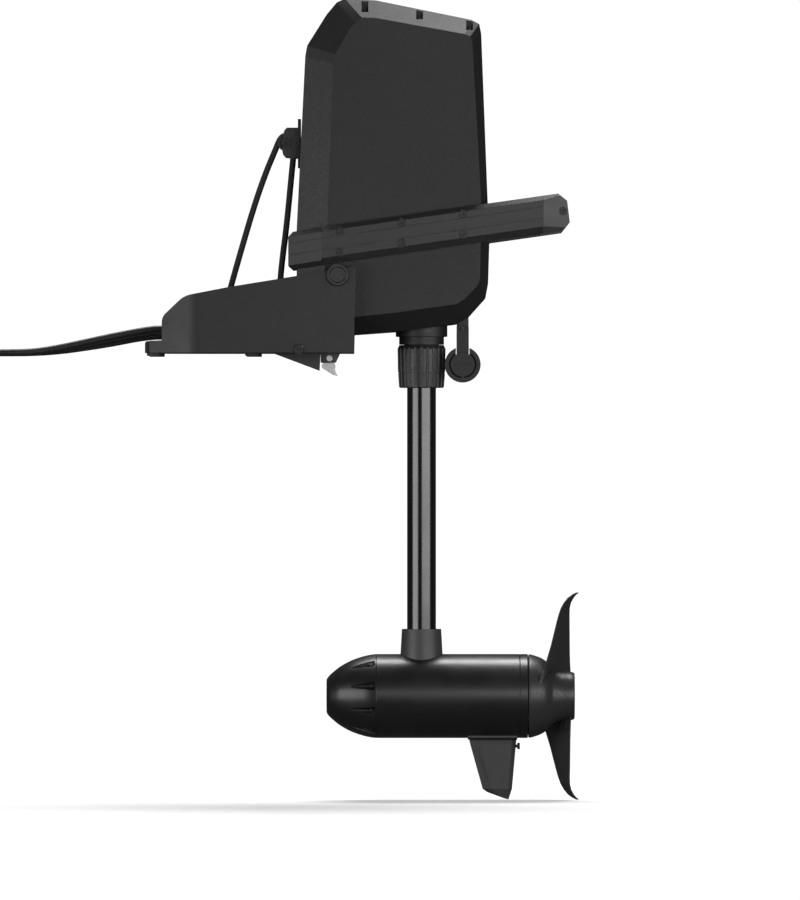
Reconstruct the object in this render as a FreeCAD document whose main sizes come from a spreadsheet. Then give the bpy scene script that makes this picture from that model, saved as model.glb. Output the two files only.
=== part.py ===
import FreeCAD, Part
import math
import os
import Sketcher

# A bow-mount trolling motor: a deck base of two side plates, a head that tilts between them on two
# pivot bolts, and a shaft with its motor that steers and slides in the head. Millimetres, +Z up,
# +X over the bow, +Y to port. The origin is the middle of the deck bolts, on the deck.

V = FreeCAD.Vector
doc = FreeCAD.newDocument("trolling_motor")

# ---------------------------------------------------------------- driving dimensions

DIMENSIONS = [
    ("plate_inside", 86.0),        # side plates' inner faces, from the middle plane
    ("plate_thick", 4.0),
    ("plate_bottom", 4.0),         # the feet's height
    ("plate_front", 194.0),
    ("plate_rear", -54.0),
    ("tail_rear", -70.0),
    ("tail_start", -11.0),         # where the plates bend in
    ("tail_inside", 70.0),
    ("plate_top", 115.0),
    ("floor_thick", 4.0),
    ("bolt_span", 127.0),          # deck bolts, along X
    ("bolt_width", 120.0),         # deck bolts, along Y
    ("bolt_hole", 3.5),
    ("foot_radius", 10.0),
    ("pivot_x", 173.4),
    ("pivot_z", 104.3),
    ("pivot_pin", 6.0),
    ("pivot_head", 14.6),
    ("head_half", 70.0),           # head's flat sides, from the middle plane
    ("head_edge", 46.0),           # where the head's bevels start
    ("head_wall", 3.5),
    ("rail_half", 84.0),
    ("rail_thick", 13.5),
    ("rail_height", 48.0),
    ("rail_slope", 8.1),           # degrees
    ("shaft_x", 281.8),
    ("shaft_radius", 18.85),
    ("shaft_bore", 15.5),
    ("shaft_top", 400.0),
    ("shaft_foot", -385.0),
    ("sleeve_radius", 22.5),
    ("motor_z", -441.5),
    ("motor_radius", 54.6),
    ("motor_front", 222.6),
    ("motor_rear", 420.2),
    ("motor_wall", 5.0),
    ("bell_width", 10.9),
    ("nose_tip", 158.3),
    ("hub_end", 480.7),
    ("blade_radius", 134.6),
    ("rope_width", 8.0),
    ("power_width", 9.0),
    ("sonar_width", 7.0),
    ("guide_x", 106.0),
    ("guide_z", 277.4),
    ("guide_groove", 5.3),
    ("latch_x", 162.2),
    ("latch_z", -2.6),
    ("latch_pin", 4.0),
]


class Size(float):
    """A length in millimetres that also carries the sheet expression it comes from."""

    def __new__(cls, value, text):
        made = float.__new__(cls, value)
        made.text = text
        return made

    def __add__(self, other):
        return joined(self, "+", other, float(self) + float(other))

    def __radd__(self, other):
        return joined(other, "+", self, float(other) + float(self))

    def __sub__(self, other):
        return joined(self, "-", other, float(self) - float(other))

    def __rsub__(self, other):
        return joined(other, "-", self, float(other) - float(self))

    def __mul__(self, other):
        return joined(self, "*", other, float(self) * float(other))

    def __rmul__(self, other):
        return joined(other, "*", self, float(other) * float(self))

    def __truediv__(self, other):
        return joined(self, "/", other, float(self) / float(other))

    def __neg__(self):
        return Size(-float(self), "-%s" % self.text)


def text_of(value):
    """The expression for a value: the sheet's own, or the plain number."""
    return value.text if isinstance(value, Size) else "%.6f" % value


def joined(left, sign, right, value):
    return Size(value, "(%s %s %s)" % (text_of(left), sign, text_of(right)))


def make_sheet():
    sheet = doc.addObject("Spreadsheet::Sheet", "dims")
    for row, (alias, value) in enumerate(DIMENSIONS, start=1):
        sheet.set("A%d" % row, alias)
        sheet.set("B%d" % row, str(value))
        sheet.setAlias("B%d" % row, alias)
    doc.recompute()
    return {alias: Size(float(getattr(sheet, alias)), "dims.%s" % alias) for alias, _ in DIMENSIONS}


D = make_sheet()

# ---------------------------------------------------------------- helpers

EXPORTS = []           # the document objects that are sub-parts, in order


def bind(thing, path, value):
    """Set a property and tie it to the sheet where the value comes from there."""
    if isinstance(value, Size):
        thing.setExpression(path, value.text)
    elif "." not in path:
        setattr(thing, path, float(value))


def place(thing, x=0.0, y=0.0, z=0.0, axis=V(0, 0, 1), angle=0.0):
    """Give a sub-part its place in the frame; x, y and z may be sheet sizes."""
    thing.Placement = FreeCAD.Placement(V(x, y, z), FreeCAD.Rotation(axis, angle))
    for name, value in (("x", x), ("y", y), ("z", z)):
        bind(thing, "Placement.Base.%s" % name, value)
    return thing


def keep(thing, label):
    """Mark a document object as a sub-part."""
    thing.Label = label
    EXPORTS.append(thing)
    return thing


def new_body(name):
    return doc.addObject("PartDesign::Body", name)


def new_sketch(body, role, name):
    plane = [feature for feature in body.Origin.OriginFeatures if feature.Role == role][0]
    sketch = body.newObject("Sketcher::SketchObject", name)
    sketch.AttachmentSupport = [(plane, "")]
    sketch.MapMode = "FlatFace"
    return sketch


def fix(sketch, kind, geometry, point, value):
    """Hold one coordinate of a sketch point at a value."""
    index = sketch.addConstraint(Sketcher.Constraint(kind, geometry, point, float(value)))
    if isinstance(value, Size):
        sketch.setExpression("Constraints[%d]" % index, value.text)


def draw_polygon(sketch, points):
    """A closed outline of straight edges through the given points."""
    first = sketch.GeometryCount
    count = len(points)
    for i, (x, y) in enumerate(points):
        to_x, to_y = points[(i + 1) % count]
        sketch.addGeometry(Part.LineSegment(V(x, y, 0), V(to_x, to_y, 0)), False)
    for i, (x, y) in enumerate(points):
        sketch.addConstraint(Sketcher.Constraint("Coincident", first + i, 2, first + (i + 1) % count, 1))
        fix(sketch, "DistanceX", first + i, 1, x)
        fix(sketch, "DistanceY", first + i, 1, y)


def draw_circle(sketch, x, y, radius):
    index = sketch.addGeometry(Part.Circle(V(x, y, 0), V(0, 0, 1), float(radius)), False)
    fix(sketch, "DistanceX", index, 3, x)
    fix(sketch, "DistanceY", index, 3, y)
    number = sketch.addConstraint(Sketcher.Constraint("Radius", index, float(radius)))
    if isinstance(radius, Size):
        sketch.setExpression("Constraints[%d]" % number, radius.text)


def pad(body, sketch, length, middle=False, back=False):
    feature = body.newObject("PartDesign::Pad", "Pad")
    feature.Profile = sketch
    bind(feature, "Length", length)
    feature.SideType = "Symmetric" if middle else "One side"
    feature.Reversed = back
    return feature


def revolve(body, sketch, axis):
    feature = body.newObject("PartDesign::Revolution", "Revolution")
    feature.Profile = sketch
    feature.ReferenceAxis = (sketch, [axis])
    feature.Angle = 360.0
    return feature


def padded(name, role, points, length, middle=False, back=False, holes=()):
    """A body from one outline, with round holes given as (x, y, radius)."""
    body = new_body(name)
    sketch = new_sketch(body, role, name + "_outline")
    draw_polygon(sketch, points)
    for x, y, radius in holes:
        draw_circle(sketch, x, y, radius)
    pad(body, sketch, length, middle, back)
    return body


def turned(name, role, points, axis="H_Axis"):
    """A body of revolution about a sketch axis; the outline is (along, radius) about H_Axis."""
    body = new_body(name)
    sketch = new_sketch(body, role, name + "_profile")
    draw_polygon(sketch, points)
    revolve(body, sketch, axis)
    return body


def cylinder(name, radius, length, x=0.0, y=0.0, z=0.0, along="Z"):
    """A Part cylinder whose base centre is at x, y, z and which runs in + along."""
    thing = doc.addObject("Part::Cylinder", name)
    bind(thing, "Radius", radius)
    bind(thing, "Height", length)
    axis, angle = {"X": (V(0, 1, 0), 90.0), "Y": (V(1, 0, 0), -90.0), "Z": (V(0, 0, 1), 0.0)}[along]
    return place(thing, x, y, z, axis, angle)


def block(name, low, high):
    """A Part box between two corners."""
    thing = doc.addObject("Part::Box", name)
    for prop, a, b in zip(("Length", "Width", "Height"), low, high):
        bind(thing, prop, b - a if isinstance(a, Size) or isinstance(b, Size) else float(b) - float(a))
    return place(thing, *low)


def cut(name, base, tools):
    """Base minus every tool."""
    thing = doc.addObject("Part::Cut", name)
    thing.Base = base
    thing.Tool = tools[0] if len(tools) == 1 else group(name + "_tools", tools)
    return thing


def group(name, things):
    """Several objects as one shape, each staying a solid of its own."""
    thing = doc.addObject("Part::Compound", name)
    thing.Links = things
    return thing


def fuse(name, things):
    thing = doc.addObject("Part::MultiFuse", name)
    thing.Shapes = things
    return thing


def common(name, things):
    thing = doc.addObject("Part::MultiCommon", name)
    thing.Shapes = things
    return thing


def solid_loft(wires):
    """A solid through closed outlines with the same number of corners, in flat triangles."""
    rows = [[vertex.Point for vertex in wire.OrderedVertexes] for wire in wires]
    faces = []

    def add(corners):
        faces.append(Part.Face(Part.makePolygon(list(corners) + [corners[0]])))

    for low, high in zip(rows, rows[1:]):
        for i in range(len(low)):
            after = (i + 1) % len(low)
            add((low[i], low[after], high[after]))
            add((low[i], high[after], high[i]))
    for row in (rows[0], rows[-1]):
        for i in range(1, len(row) - 1):
            add((row[0], row[i], row[i + 1]))
    solid = Part.Solid(Part.Shell(faces))
    if solid.Volume < 0:
        solid.reverse()
    if not solid.isValid():
        raise RuntimeError("a loft is not a valid solid")
    return solid


def rounded(name, base, axis, places, radius):
    """Round the edges that run along an axis ("Y" or "Z") through these places, (x, z) or (x, y)."""
    made = doc.addObject("Part::Fillet", name)
    made.Base = base
    doc.recompute()
    picks = []
    for index, edge in enumerate(base.Shape.Edges, start=1):
        ends = [vertex.Point for vertex in edge.Vertexes]
        if len(ends) < 2:
            continue
        flat = [(V(p.x, p.z, 0) if axis == "Y" else V(p.x, p.y, 0)) for p in ends]
        for place_x, place_other in places:
            corner = V(place_x, place_other, 0)
            if all(point.distanceToPoint(corner) < 0.2 for point in flat):
                picks.append((index, radius, radius))
    made.Edges = picks
    return made


def dome(points):
    """A solid turned about the motor's axis, its outline a smooth curve through (x, radius) points."""
    outline = Part.BSplineCurve()
    outline.interpolate([V(x, 0, radius) for x, radius in points])
    start, start_radius = points[0]
    end, end_radius = points[-1]
    edges = [
        Part.makeLine(V(start, 0, 0), V(start, 0, start_radius)),
        outline.toShape(),
        Part.makeLine(V(end, 0, end_radius), V(end, 0, 0)),
        Part.makeLine(V(end, 0, 0), V(start, 0, 0)),
    ]
    solid = Part.Face(Part.Wire(edges)).revolve(V(0, 0, 0), V(1, 0, 0), 360.0)
    return solid.translated(V(0, 0, D["motor_z"]))


def feature(name, shape):
    """A sub-part whose shape comes from Part's own functions."""
    thing = doc.addObject("Part::Feature", name)
    thing.Shape = shape
    return thing


# ---------------------------------------------------------------- the deck base

BEND = 56.0            # inner radius where the plates turn in at the tail


def side_plate(label, side):
    """One bent plate: its side outline cut to the plan strip, which turns in at the tail."""
    outline = [
        (D["tail_rear"], D["plate_bottom"]),
        (D["plate_front"], D["plate_bottom"]),
        (D["plate_front"] + 2.5, D["plate_top"] - 2.0),
        (D["plate_front"], D["plate_top"]),
        (32.0, 88.6),
        (-25.0, 77.6),
        (D["plate_rear"], 50.2),
        (D["plate_rear"], 20.0),
        (D["tail_rear"], 19.4),
    ]
    profile = padded(label + "_side", "XZ_Plane", outline, 2 * D["rail_half"] + 40.0, middle=True)
    profile = rounded(label + "_brow", profile, "Y", [(-25.0, 77.6)], 33.0)
    profile = rounded(label + "_tail", profile, "Y", [(D["plate_rear"], 50.2)], 16.0)
    inside = D["plate_inside"]
    outside = inside + D["plate_thick"]
    tail = D["tail_inside"]
    strip = [
        (D["tail_rear"] - 5.0, side * tail),
        (D["tail_start"], side * inside),
        (D["plate_front"] + 5.0, side * inside),
        (D["plate_front"] + 5.0, side * outside),
        (D["tail_start"], side * outside),
        (D["tail_rear"] - 5.0, side * (tail + D["plate_thick"])),
    ]
    plan = padded(label + "_plan", "XY_Plane", strip, D["plate_top"] + 10.0)
    plan = rounded(label + "_bend_in", plan, "Z", [(D["tail_start"], side * inside)], BEND)
    plan = rounded(label + "_bend_out", plan, "Z", [(D["tail_start"], side * outside)],
                   BEND + D["plate_thick"])
    bore = cylinder(label + "_bore", D["pivot_pin"] + 0.05, 60.0, D["pivot_x"], side * 88.0 - 30.0,
                    D["pivot_z"], "Y")
    notch = cylinder(label + "_notch", 6.6, 60.0, 122.8, side * 88.0 - 30.0, 8.2, "Y")
    blank = common(label + "_blank", [profile, plan])
    return keep(cut(label, blank, [bore, notch]), label)


def base_floor():
    """The floor plate between the side plates, with a notch at the bow for the latch."""
    inside = D["plate_inside"] - 0.1
    points = [
        (D["tail_start"], -inside),
        (D["plate_front"] - 2.0, -inside),
        (D["plate_front"] - 2.0, -17.0),
        (148.0, -17.0),
        (148.0, 17.0),
        (D["plate_front"] - 2.0, 17.0),
        (D["plate_front"] - 2.0, inside),
        (D["tail_start"], inside),
        (D["tail_rear"], D["tail_inside"] - 0.4),
        (D["tail_rear"], -D["tail_inside"] + 0.4),
    ]
    holes = [(x, y, D["bolt_hole"]) for x, y in deck_bolts()]
    body = padded("floor_body", "XY_Plane", points, D["floor_thick"], holes=holes)
    body = rounded("floor_bends", body, "Z", [(D["tail_start"], -inside), (D["tail_start"], inside)],
                   BEND)
    return keep(place(body, 0, 0, D["plate_bottom"]), "base_floor")


def deck_bolts():
    half_x = D["bolt_span"] / 2
    half_y = D["bolt_width"] / 2
    return [(-half_x, -half_y), (half_x, -half_y), (half_x, half_y), (-half_x, half_y)]


def deck_feet():
    """Four rubber pads under the floor, each with the deck bolt's hole."""
    feet = []
    for i, (x, y) in enumerate(deck_bolts()):
        body = new_body("foot_%d" % i)
        sketch = new_sketch(body, "XY_Plane", "foot_outline_%d" % i)
        draw_circle(sketch, x, y, D["foot_radius"])
        draw_circle(sketch, x, y, D["bolt_hole"])
        pad(body, sketch, D["plate_bottom"])
        feet.append(body)
    return keep(group("deck_feet", feet), "deck_feet")


def rear_block():
    """The moulded fairlead at the tail that the cables and the rope lie over."""
    points = [
        (-76.0, 4.0),
        (D["tail_rear"] - 0.3, 4.0),
        (D["tail_rear"] - 0.3, 8.3),
        (-56.0, 8.3),
        (-56.0, 19.0),
        (-74.0, 19.0),
        (-76.0, 17.0),
    ]
    body = padded("rear_block_body", "XZ_Plane", points, 2 * D["tail_inside"] - 6.0, middle=True)
    holes = [
        cylinder("rear_block_hole_%d" % i, D["bolt_hole"] + 1.5, 30.0, x, y, 6.0)
        for i, (x, y) in enumerate(deck_bolts()) if x < 0
    ]
    return keep(cut("rear_block", body, holes), "rear_block")


def pivot_bolts():
    """Two shoulder bolts with broad round heads; the head tilts on them."""
    bolts = []
    for side in (-1, 1):
        face = D["plate_inside"] + D["plate_thick"]
        profile = [
            (D["head_half"] - 12.0, 0.0),
            (face + 8.0, 0.0),
            (face + 8.0, D["pivot_head"] - 5.2),
            (face + 6.4, D["pivot_head"] - 4.0),
            (face + 6.4, D["pivot_head"] - 1.0),
            (face + 5.0, D["pivot_head"]),
            (face + 0.05, D["pivot_head"]),
            (face + 0.05, D["pivot_pin"]),
            (D["head_half"] - 12.0, D["pivot_pin"]),
        ]
        bolt = turned("pivot_bolt_%d" % (side + 2), "XZ_Plane", profile)
        bolts.append(place(bolt, D["pivot_x"], 0, D["pivot_z"], V(0, 0, 1), 90.0 * side))
    return keep(group("pivot_bolts", bolts), "pivot_bolts")


def plate_fasteners():
    """Cross bolts at the plates' lower edge, and the small stop pins beside the pivots."""
    parts = []
    face = D["plate_inside"] + D["plate_thick"]
    for side in (-1, 1):
        low = face + 2.5 if side < 0 else -D["plate_inside"] - 0.3
        parts.append(cylinder("cross_bolt_%d" % (side + 2), 6.3, 2.2 + D["plate_thick"], 122.8,
                              -low, 8.2, "Y"))
        start = face + 0.8 if side < 0 else -face
        parts.append(cylinder("stop_pin_%d" % (side + 2), 2.2, 0.8, 147.9, -start, 107.6, "Y"))
    return keep(group("plate_fasteners", parts), "plate_fasteners")


def cable_clamp():
    """A two-hole saddle on the floor that grips both cables."""
    blank = block("clamp_blank", (24.0, -42.0, 8.05), (36.0, -10.0, 27.0))
    wires = [
        cylinder("clamp_power", D["power_width"] / 2 - 0.5, 20.0, 20.0, -34.0, 18.0, "X"),
        cylinder("clamp_sonar", D["sonar_width"] / 2 - 0.5, 20.0, 20.0, -18.0, 18.0, "X"),
    ]
    return keep(cut("cable_clamp", blank, wires), "cable_clamp")


def rope_bracket():
    """A pressed bracket that carries the base sheave and the rope's anchor eye."""
    cheeks = [
        padded("rope_cheek_%d" % i, "XZ_Plane",
               [(-8.0, 8.05), (20.0, 8.05), (17.0, 44.0), (-4.0, 44.0)], 3.0)
        for i in range(2)
    ]
    place(cheeks[0], 0, 22.0, 0)
    place(cheeks[1], 0, 37.0, 0)
    web = block("rope_web", (-8.0, 19.0, 8.05), (-5.0, 37.0, 14.0))
    lug = block("rope_anchor", (88.0, -8.0, 8.05), (106.0, 8.0, 16.0))
    frame = fuse("rope_frame", [cheeks[0], cheeks[1], web])
    bore = cylinder("rope_pin_bore", 3.05, 30.0, 6.0, 15.0, 34.0, "Y")
    body = group("rope_bracket", [cut("rope_frame_bored", frame, [bore]), lug])
    return keep(body, "rope_bracket")


def clevis_pins():
    """The base sheave's pin and the latch pin."""
    pins = [
        cylinder("sheave_pin", 3.0, 22.0, 6.0, 17.0, 34.0, "Y"),
        cylinder("latch_pin_shank", D["latch_pin"], 32.0, D["latch_x"], -16.0, D["latch_z"], "Y"),
    ]
    return keep(group("clevis_pins", pins), "clevis_pins")


def base_sheave():
    """A grooved wheel with a running fit on its pin."""
    profile = sheave_profile(3.05, 7.3, 13.0, 5.7)
    wheel = turned("base_sheave", "XZ_Plane", profile)
    return keep(place(wheel, 6.0, 28.0, 34.0, V(0, 0, 1), 90.0), "base_sheave")


def sheave_profile(bore, groove, rim, half):
    """(along, radius) points of a rope wheel."""
    floor = half - 2.6
    return [
        (-half, bore), (half, bore), (half, rim), (half - 0.6, rim),
        (floor, groove), (-floor, groove), (0.6 - half, rim), (-half, rim),
    ]


def latch_housing():
    """The wedge under the bow end of the floor."""
    points = [(89.0, 3.9), (150.5, 3.9), (149.2, -18.7)]
    return keep(padded("latch_housing", "XZ_Plane", points, 44.0, middle=True), "latch_housing")


def latch_bracket():
    """Two cheeks that hold the latch pin, joined by a web behind it."""
    outline = [(150.8, 3.9), (176.1, 3.9), (170.5, -8.1), (152.5, -8.6)]
    cheeks = []
    for i, y in enumerate((-10.0, 14.0)):
        cheek = padded("latch_cheek_%d" % i, "XZ_Plane", outline, 4.0,
                       holes=[(D["latch_x"], D["latch_z"], D["latch_pin"] + 0.02)])
        cheeks.append(place(cheek, 0, y, 0))
    web = block("latch_web", (150.8, -11.0, -8.0), (153.6, 11.0, 3.9))
    return keep(fuse("latch_bracket", cheeks + [web]), "latch_bracket")


def latch_hook():
    """The swinging hook: an eye on the pin, an arm below it and a beak at its tip."""
    eye = cylinder("latch_eye", 7.0, 12.0, D["latch_x"], -6.0, D["latch_z"], "Y")
    arm = padded("latch_arm", "XZ_Plane", [
        (156.5, -6.0),
        (167.0, -6.5),
        (170.2, -11.5),
        (169.6, -18.5),
        (172.8, -25.6),
        (166.5, -24.0),
        (152.5, -15.0),
        (152.0, -11.0),
    ], 12.0, middle=True)
    bore = cylinder("latch_hook_bore", D["latch_pin"] + 0.05, 40.0, D["latch_x"], -20.0,
                    D["latch_z"], "Y")
    return keep(cut("latch_hook", fuse("latch_hook_blank", [eye, arm]), [bore]), "latch_hook")


def make_base():
    side_plate("side_plate_near", -1)
    side_plate("side_plate_far", 1)
    base_floor()
    deck_feet()
    rear_block()
    pivot_bolts()
    plate_fasteners()
    cable_clamp()
    rope_bracket()
    clevis_pins()
    base_sheave()
    latch_housing()
    latch_bracket()
    latch_hook()


# ---------------------------------------------------------------- the head

CAP_X = 335.1          # the cap hangs beside the collar, on the near side
CAP_Y = -24.0
CAP_Z = -10.9

HEAD_EDGE = [          # the head's full outline, at its middle
    (119.9, 40.0), (119.9, 164.0), (131.0, 388.0), (133.5, 402.0), (158.9, 442.5), (171.9, 458.0),
    (182.3, 463.0), (222.6, 460.7), (346.1, 435.5), (356.5, 430.0), (359.1, 417.0), (369.5, 145.0),
    (368.0, 94.0), (364.5, 75.0), (342.2, 49.9), (326.6, 41.6), (248.6, 31.7), (150.0, 24.5),
    (128.0, 28.0),
]
HEAD_FACE = [          # the flat side face's outline, point for point
    (153.0, 62.0), (160.0, 177.0), (167.5, 378.0), (170.0, 390.0), (187.5, 420.4), (196.5, 431.0),
    (203.9, 437.5), (224.0, 436.4), (338.0, 415.7), (344.5, 412.5), (347.2, 406.0), (359.1, 190.0),
    (357.0, 100.0), (355.0, 92.0), (338.0, 74.0), (326.6, 66.8), (248.6, 56.0), (172.0, 47.5),
    (158.0, 51.0),
]


def shrink(points, wall):
    """The outline moved in by about the wall on every side."""
    xs = [x for x, _ in points]
    zs = [z for _, z in points]
    mid_x = (min(xs) + max(xs)) / 2
    mid_z = (min(zs) + max(zs)) / 2
    scale_x = 1 - 2 * wall / (max(xs) - min(xs))
    scale_z = 1 - 2 * wall / (max(zs) - min(zs))
    return [(mid_x + (x - mid_x) * scale_x, mid_z + (z - mid_z) * scale_z) for x, z in points]


def wire_at(points, y):
    corners = [V(x, y, z) for x, z in points]
    return Part.makePolygon(corners + corners[:1])


def head_half_solid(side, wall):
    """Half of the head's outer form, or of its hollow when wall is more than nothing."""
    edge = shrink(HEAD_EDGE, wall)
    face = shrink(HEAD_FACE, wall)
    middle = -side * 1.0 if wall > 0 else 0.0
    bevel = side * (D["head_edge"] - 0.5 * wall)
    flat = side * (D["head_half"] - wall)
    wires = [wire_at(edge, middle), wire_at(edge, bevel), wire_at(face, flat)]
    return Part.makeLoft(wires, True, True)


def head_shell(label, side):
    """One side of the head's casing, split on the middle plane."""
    shell = head_half_solid(side, 0.0).cut(head_half_solid(side, D["head_wall"]))
    tools = [
        Part.makeCylinder(26.5, 60.0, V(D["shaft_x"], 0, 15.0)),
        Part.makeCylinder(14.1, 60.0, V(D["pivot_x"], side * 80.0 - 30.0, D["pivot_z"]), V(0, 1, 0)),
        Part.makeCylinder(6.0, 30.0, V(105.0, -34.0, 70.0), V(1, 0, 0)),
        Part.makeCylinder(4.4, 30.0, V(105.0, -18.0, 70.0), V(1, 0, 0)),
    ]
    outer = head_half_solid(side, 0.0)
    for x, z in head_slots():
        boss = Part.makeBox(16.0, 26.0, 40.0, V(x - 8.0, side * 57.0 - 13.0, z - 4.0))
        shell = shell.fuse(boss.common(outer))
        tools.append(Part.makeBox(8.7, 24.0, 40.0, V(x - 4.35, side * 60.3 - 12.0, z)))
        tools.append(Part.makeCylinder(2.65, 8.0, V(x, side * 55.0, z - 3.4)))
    for tool in tools:
        shell = shell.cut(tool)
    return keep(feature(label, shell), label)


def head_slots():
    """The middle and the floor of the three screw recesses in the top bevel."""
    return [(208.4, 444.5), (279.1, 435.4), (343.8, 421.5)]


def head_screws():
    """Cap screws in the top recesses, and the lugged pin that the cap's strap hangs from."""
    pin = cylinder("strap_pin", 2.5, 12.0, CAP_X, CAP_Y - 5.0, 36.0, "Y")
    lug = block("strap_lug", (CAP_X - 7.8, CAP_Y + 3.0, 32.0), (CAP_X + 7.8, CAP_Y + 7.0, 49.5))
    head = feature("strap_clear", head_half_solid(1, 0.0).fuse(head_half_solid(-1, 0.0)))
    parts = [cut("strap_hanger", fuse("strap_hanger_blank", [pin, lug]), [head])]
    for side in (-1, 1):
        for i, (x, z) in enumerate(head_slots()):
            parts.append(cylinder("top_screw_%d_%d" % (side + 2, i), 2.6, 6.0, x, side * 55.0, z - 3.3))
    return keep(group("head_screws", parts), "head_screws")


def rail_z(x):
    """Height of the rail's lower edge at x, on its slope."""
    return 112.6 + (x - 119.9) * math.tan(math.radians(D["rail_slope"]))


def band(x_low, x_high, y_low, y_high, lower=0.0, upper=None):
    """A sloping bar between two upright ends; lower and upper are offsets from its lower edge."""
    top = float(D["rail_height"] + 1.0) if upper is None else upper
    corners = [
        V(x_low, y_low, rail_z(x_low) + lower), V(x_high, y_low, rail_z(x_high) + lower),
        V(x_high, y_low, rail_z(x_high) + top), V(x_low, y_low, rail_z(x_low) + top),
    ]
    return Part.Face(Part.makePolygon(corners + corners[:1])).extrude(V(0, y_high - y_low, 0))


def bevelled_band(x_low, x_high, side, inside, outside):
    """A sloping bar on one side, with its two outer long edges bevelled."""
    height = float(D["rail_height"] + 1.0)
    section = [
        (inside, 0.0), (outside - 7.0, 0.0), (outside, 9.0),
        (outside, height - 6.0), (outside - 6.0, height), (inside, height),
    ]
    wires = []
    for x in (x_low, x_high):
        corners = [V(x, side * y, rail_z(x) + z) for y, z in section]
        wires.append(Part.makePolygon(corners + corners[:1]))
    return Part.makeLoft(wires, True, True)


def rail_screw_places():
    """(x, z) of the six screws in each rail and the one at its bow end."""
    places = []
    for x in (176.0, 255.9, 335.2):
        places.append((x, rail_z(x) + 13.5))
        places.append((x, rail_z(x) + 40.0))
    return places


def side_rail(side):
    """An extruded rail along the head, with two grooves and sunk screw holes."""
    inside = D["head_half"] + 0.3
    outside = D["rail_half"]
    rail = bevelled_band(152.5, 438.0, side, inside, outside)
    for level in (19.0, 34.0):
        y_low = side * outside - 0.8
        rail = rail.cut(band(150.0, 440.0, y_low, y_low + 1.6, level, level + 1.2))
    for x, z in rail_screw_places():
        rail = rail.cut(Part.makeCylinder(5.4, 8.0, V(x, side * outside - 4.0, z), V(0, 1, 0)))
        rail = rail.cut(Part.makeCylinder(2.7, 40.0, V(x, side * 76.0 - 20.0, z), V(0, 1, 0)))
    return rail


def side_rails():
    rails = [side_rail(-1), side_rail(1)]
    return keep(feature("side_rails", Part.makeCompound(rails)), "side_rails")


def rail_rear():
    """The bent extrusion round the head's rear, joining the two rails."""
    outside = D["rail_half"]
    back = 109.0
    outer = [(152.2, outside), (back, 50.0), (back, -50.0), (152.2, -outside)]
    inner = [(152.2, -68.5), (119.5, -43.5), (119.5, 43.5), (152.2, 68.5)]
    corners = [V(x, y, 90.0) for x, y in outer + inner]
    plan = Part.Face(Part.makePolygon(corners + corners[:1])).extrude(V(0, 0, 100.0))
    bend = plan.common(band(100.0, 160.0, -95.0, 95.0))
    sides = [V(back, 0, 0), V((152.2 + back) / 2, 67.0, 0), V((152.2 + back) / 2, -67.0, 0)]
    rims = []
    for edge in bend.Edges:
        middle = V(edge.CenterOfMass.x, edge.CenterOfMass.y, 0)
        level = abs(edge.tangentAt(edge.FirstParameter).z) < 0.5
        if level and any(middle.distanceToPoint(side) < 1.0 for side in sides):
            rims.append(edge)
    bend = bend.makeChamfer(6.0, rims)
    for level in (19.0, 34.0):
        ring = band(100.0, 160.0, -95.0, 95.0, level, level + 1.2)
        core = [V(x, y, 90.0) for x, y in [(153.0, 83.2), (109.8, 49.6), (109.8, -49.6), (153.0, -83.2)]]
        keep_in = Part.Face(Part.makePolygon(core + core[:1])).extrude(V(0, 0, 100.0))
        bend = bend.cut(ring.cut(keep_in))
    bend = bend.cut(head_half_solid(1, 0.0)).cut(head_half_solid(-1, 0.0))
    return keep(feature("rail_rear", bend), "rail_rear")


def grip_bar():
    """The cast bow end: two corners and the cross bar that is the hand grip."""
    bar = bevelled_band(438.2, 473.0, 1, 70.3, 84.0)
    bar = bar.fuse(bevelled_band(438.2, 473.0, -1, 70.3, 84.0))
    bar = bar.fuse(band(449.0, 473.0, -72.0, 72.0, 4.0, 45.0))
    outline = [(430.0, 140.0), (447.2, 140.0), (473.2, 172.4), (469.7, 200.3), (446.2, 219.0),
               (430.0, 219.0)]
    corners = [V(x, -110.0, z) for x, z in outline]
    bar = bar.common(Part.Face(Part.makePolygon(corners + corners[:1])).extrude(V(0, 220.0, 0)))
    for side in (-1, 1):
        corners = [V(x, side * y, 140.0) for x, y in [(440.0, 84.0), (475.0, 78.7), (475.0, 95.0),
                                                      (440.0, 95.0)]]
        taper = Part.Face(Part.makePolygon(corners + corners[:1])).extrude(V(0, 0, 90.0))
        bar = bar.cut(taper)
    for side in (-1, 1):
        bar = bar.cut(Part.makeCylinder(5.2, 8.0, V(464.4, side * 80.4 - 4.0, 186.9), V(0, 1, 0)))
    return keep(feature("grip_bar", bar.removeSplitter()), "grip_bar")


def socket_screw(x, y, z, side, shank):
    """A socket-head screw lying along Y, its head's face at y and its shank inward."""
    out = V(0, side, 0)
    seat = V(x, y, z) - out * 3.0
    screw = Part.makeCylinder(5.0, 3.0, seat, out)
    screw = screw.fuse(Part.makeCylinder(2.5, shank, seat - out * shank, out))
    socket = Part.Face(Part.makePolygon([
        V(x + 2.4 * math.cos(math.radians(60 * i)), y, z + 2.4 * math.sin(math.radians(60 * i)))
        for i in range(7)
    ])).extrude(-out * 2.0)
    return screw.cut(socket)


def rail_screws():
    """Fourteen socket screws: twelve in the rails, two in the grip casting."""
    screws = []
    for side in (-1, 1):
        for x, z in rail_screw_places():
            screws.append(socket_screw(x, side * 83.4, z, side, 9.0))
        screws.append(socket_screw(464.4, side * 79.8, 186.9, side, 0.5))
    return keep(feature("rail_screws", Part.makeCompound(screws)), "rail_screws")


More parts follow.
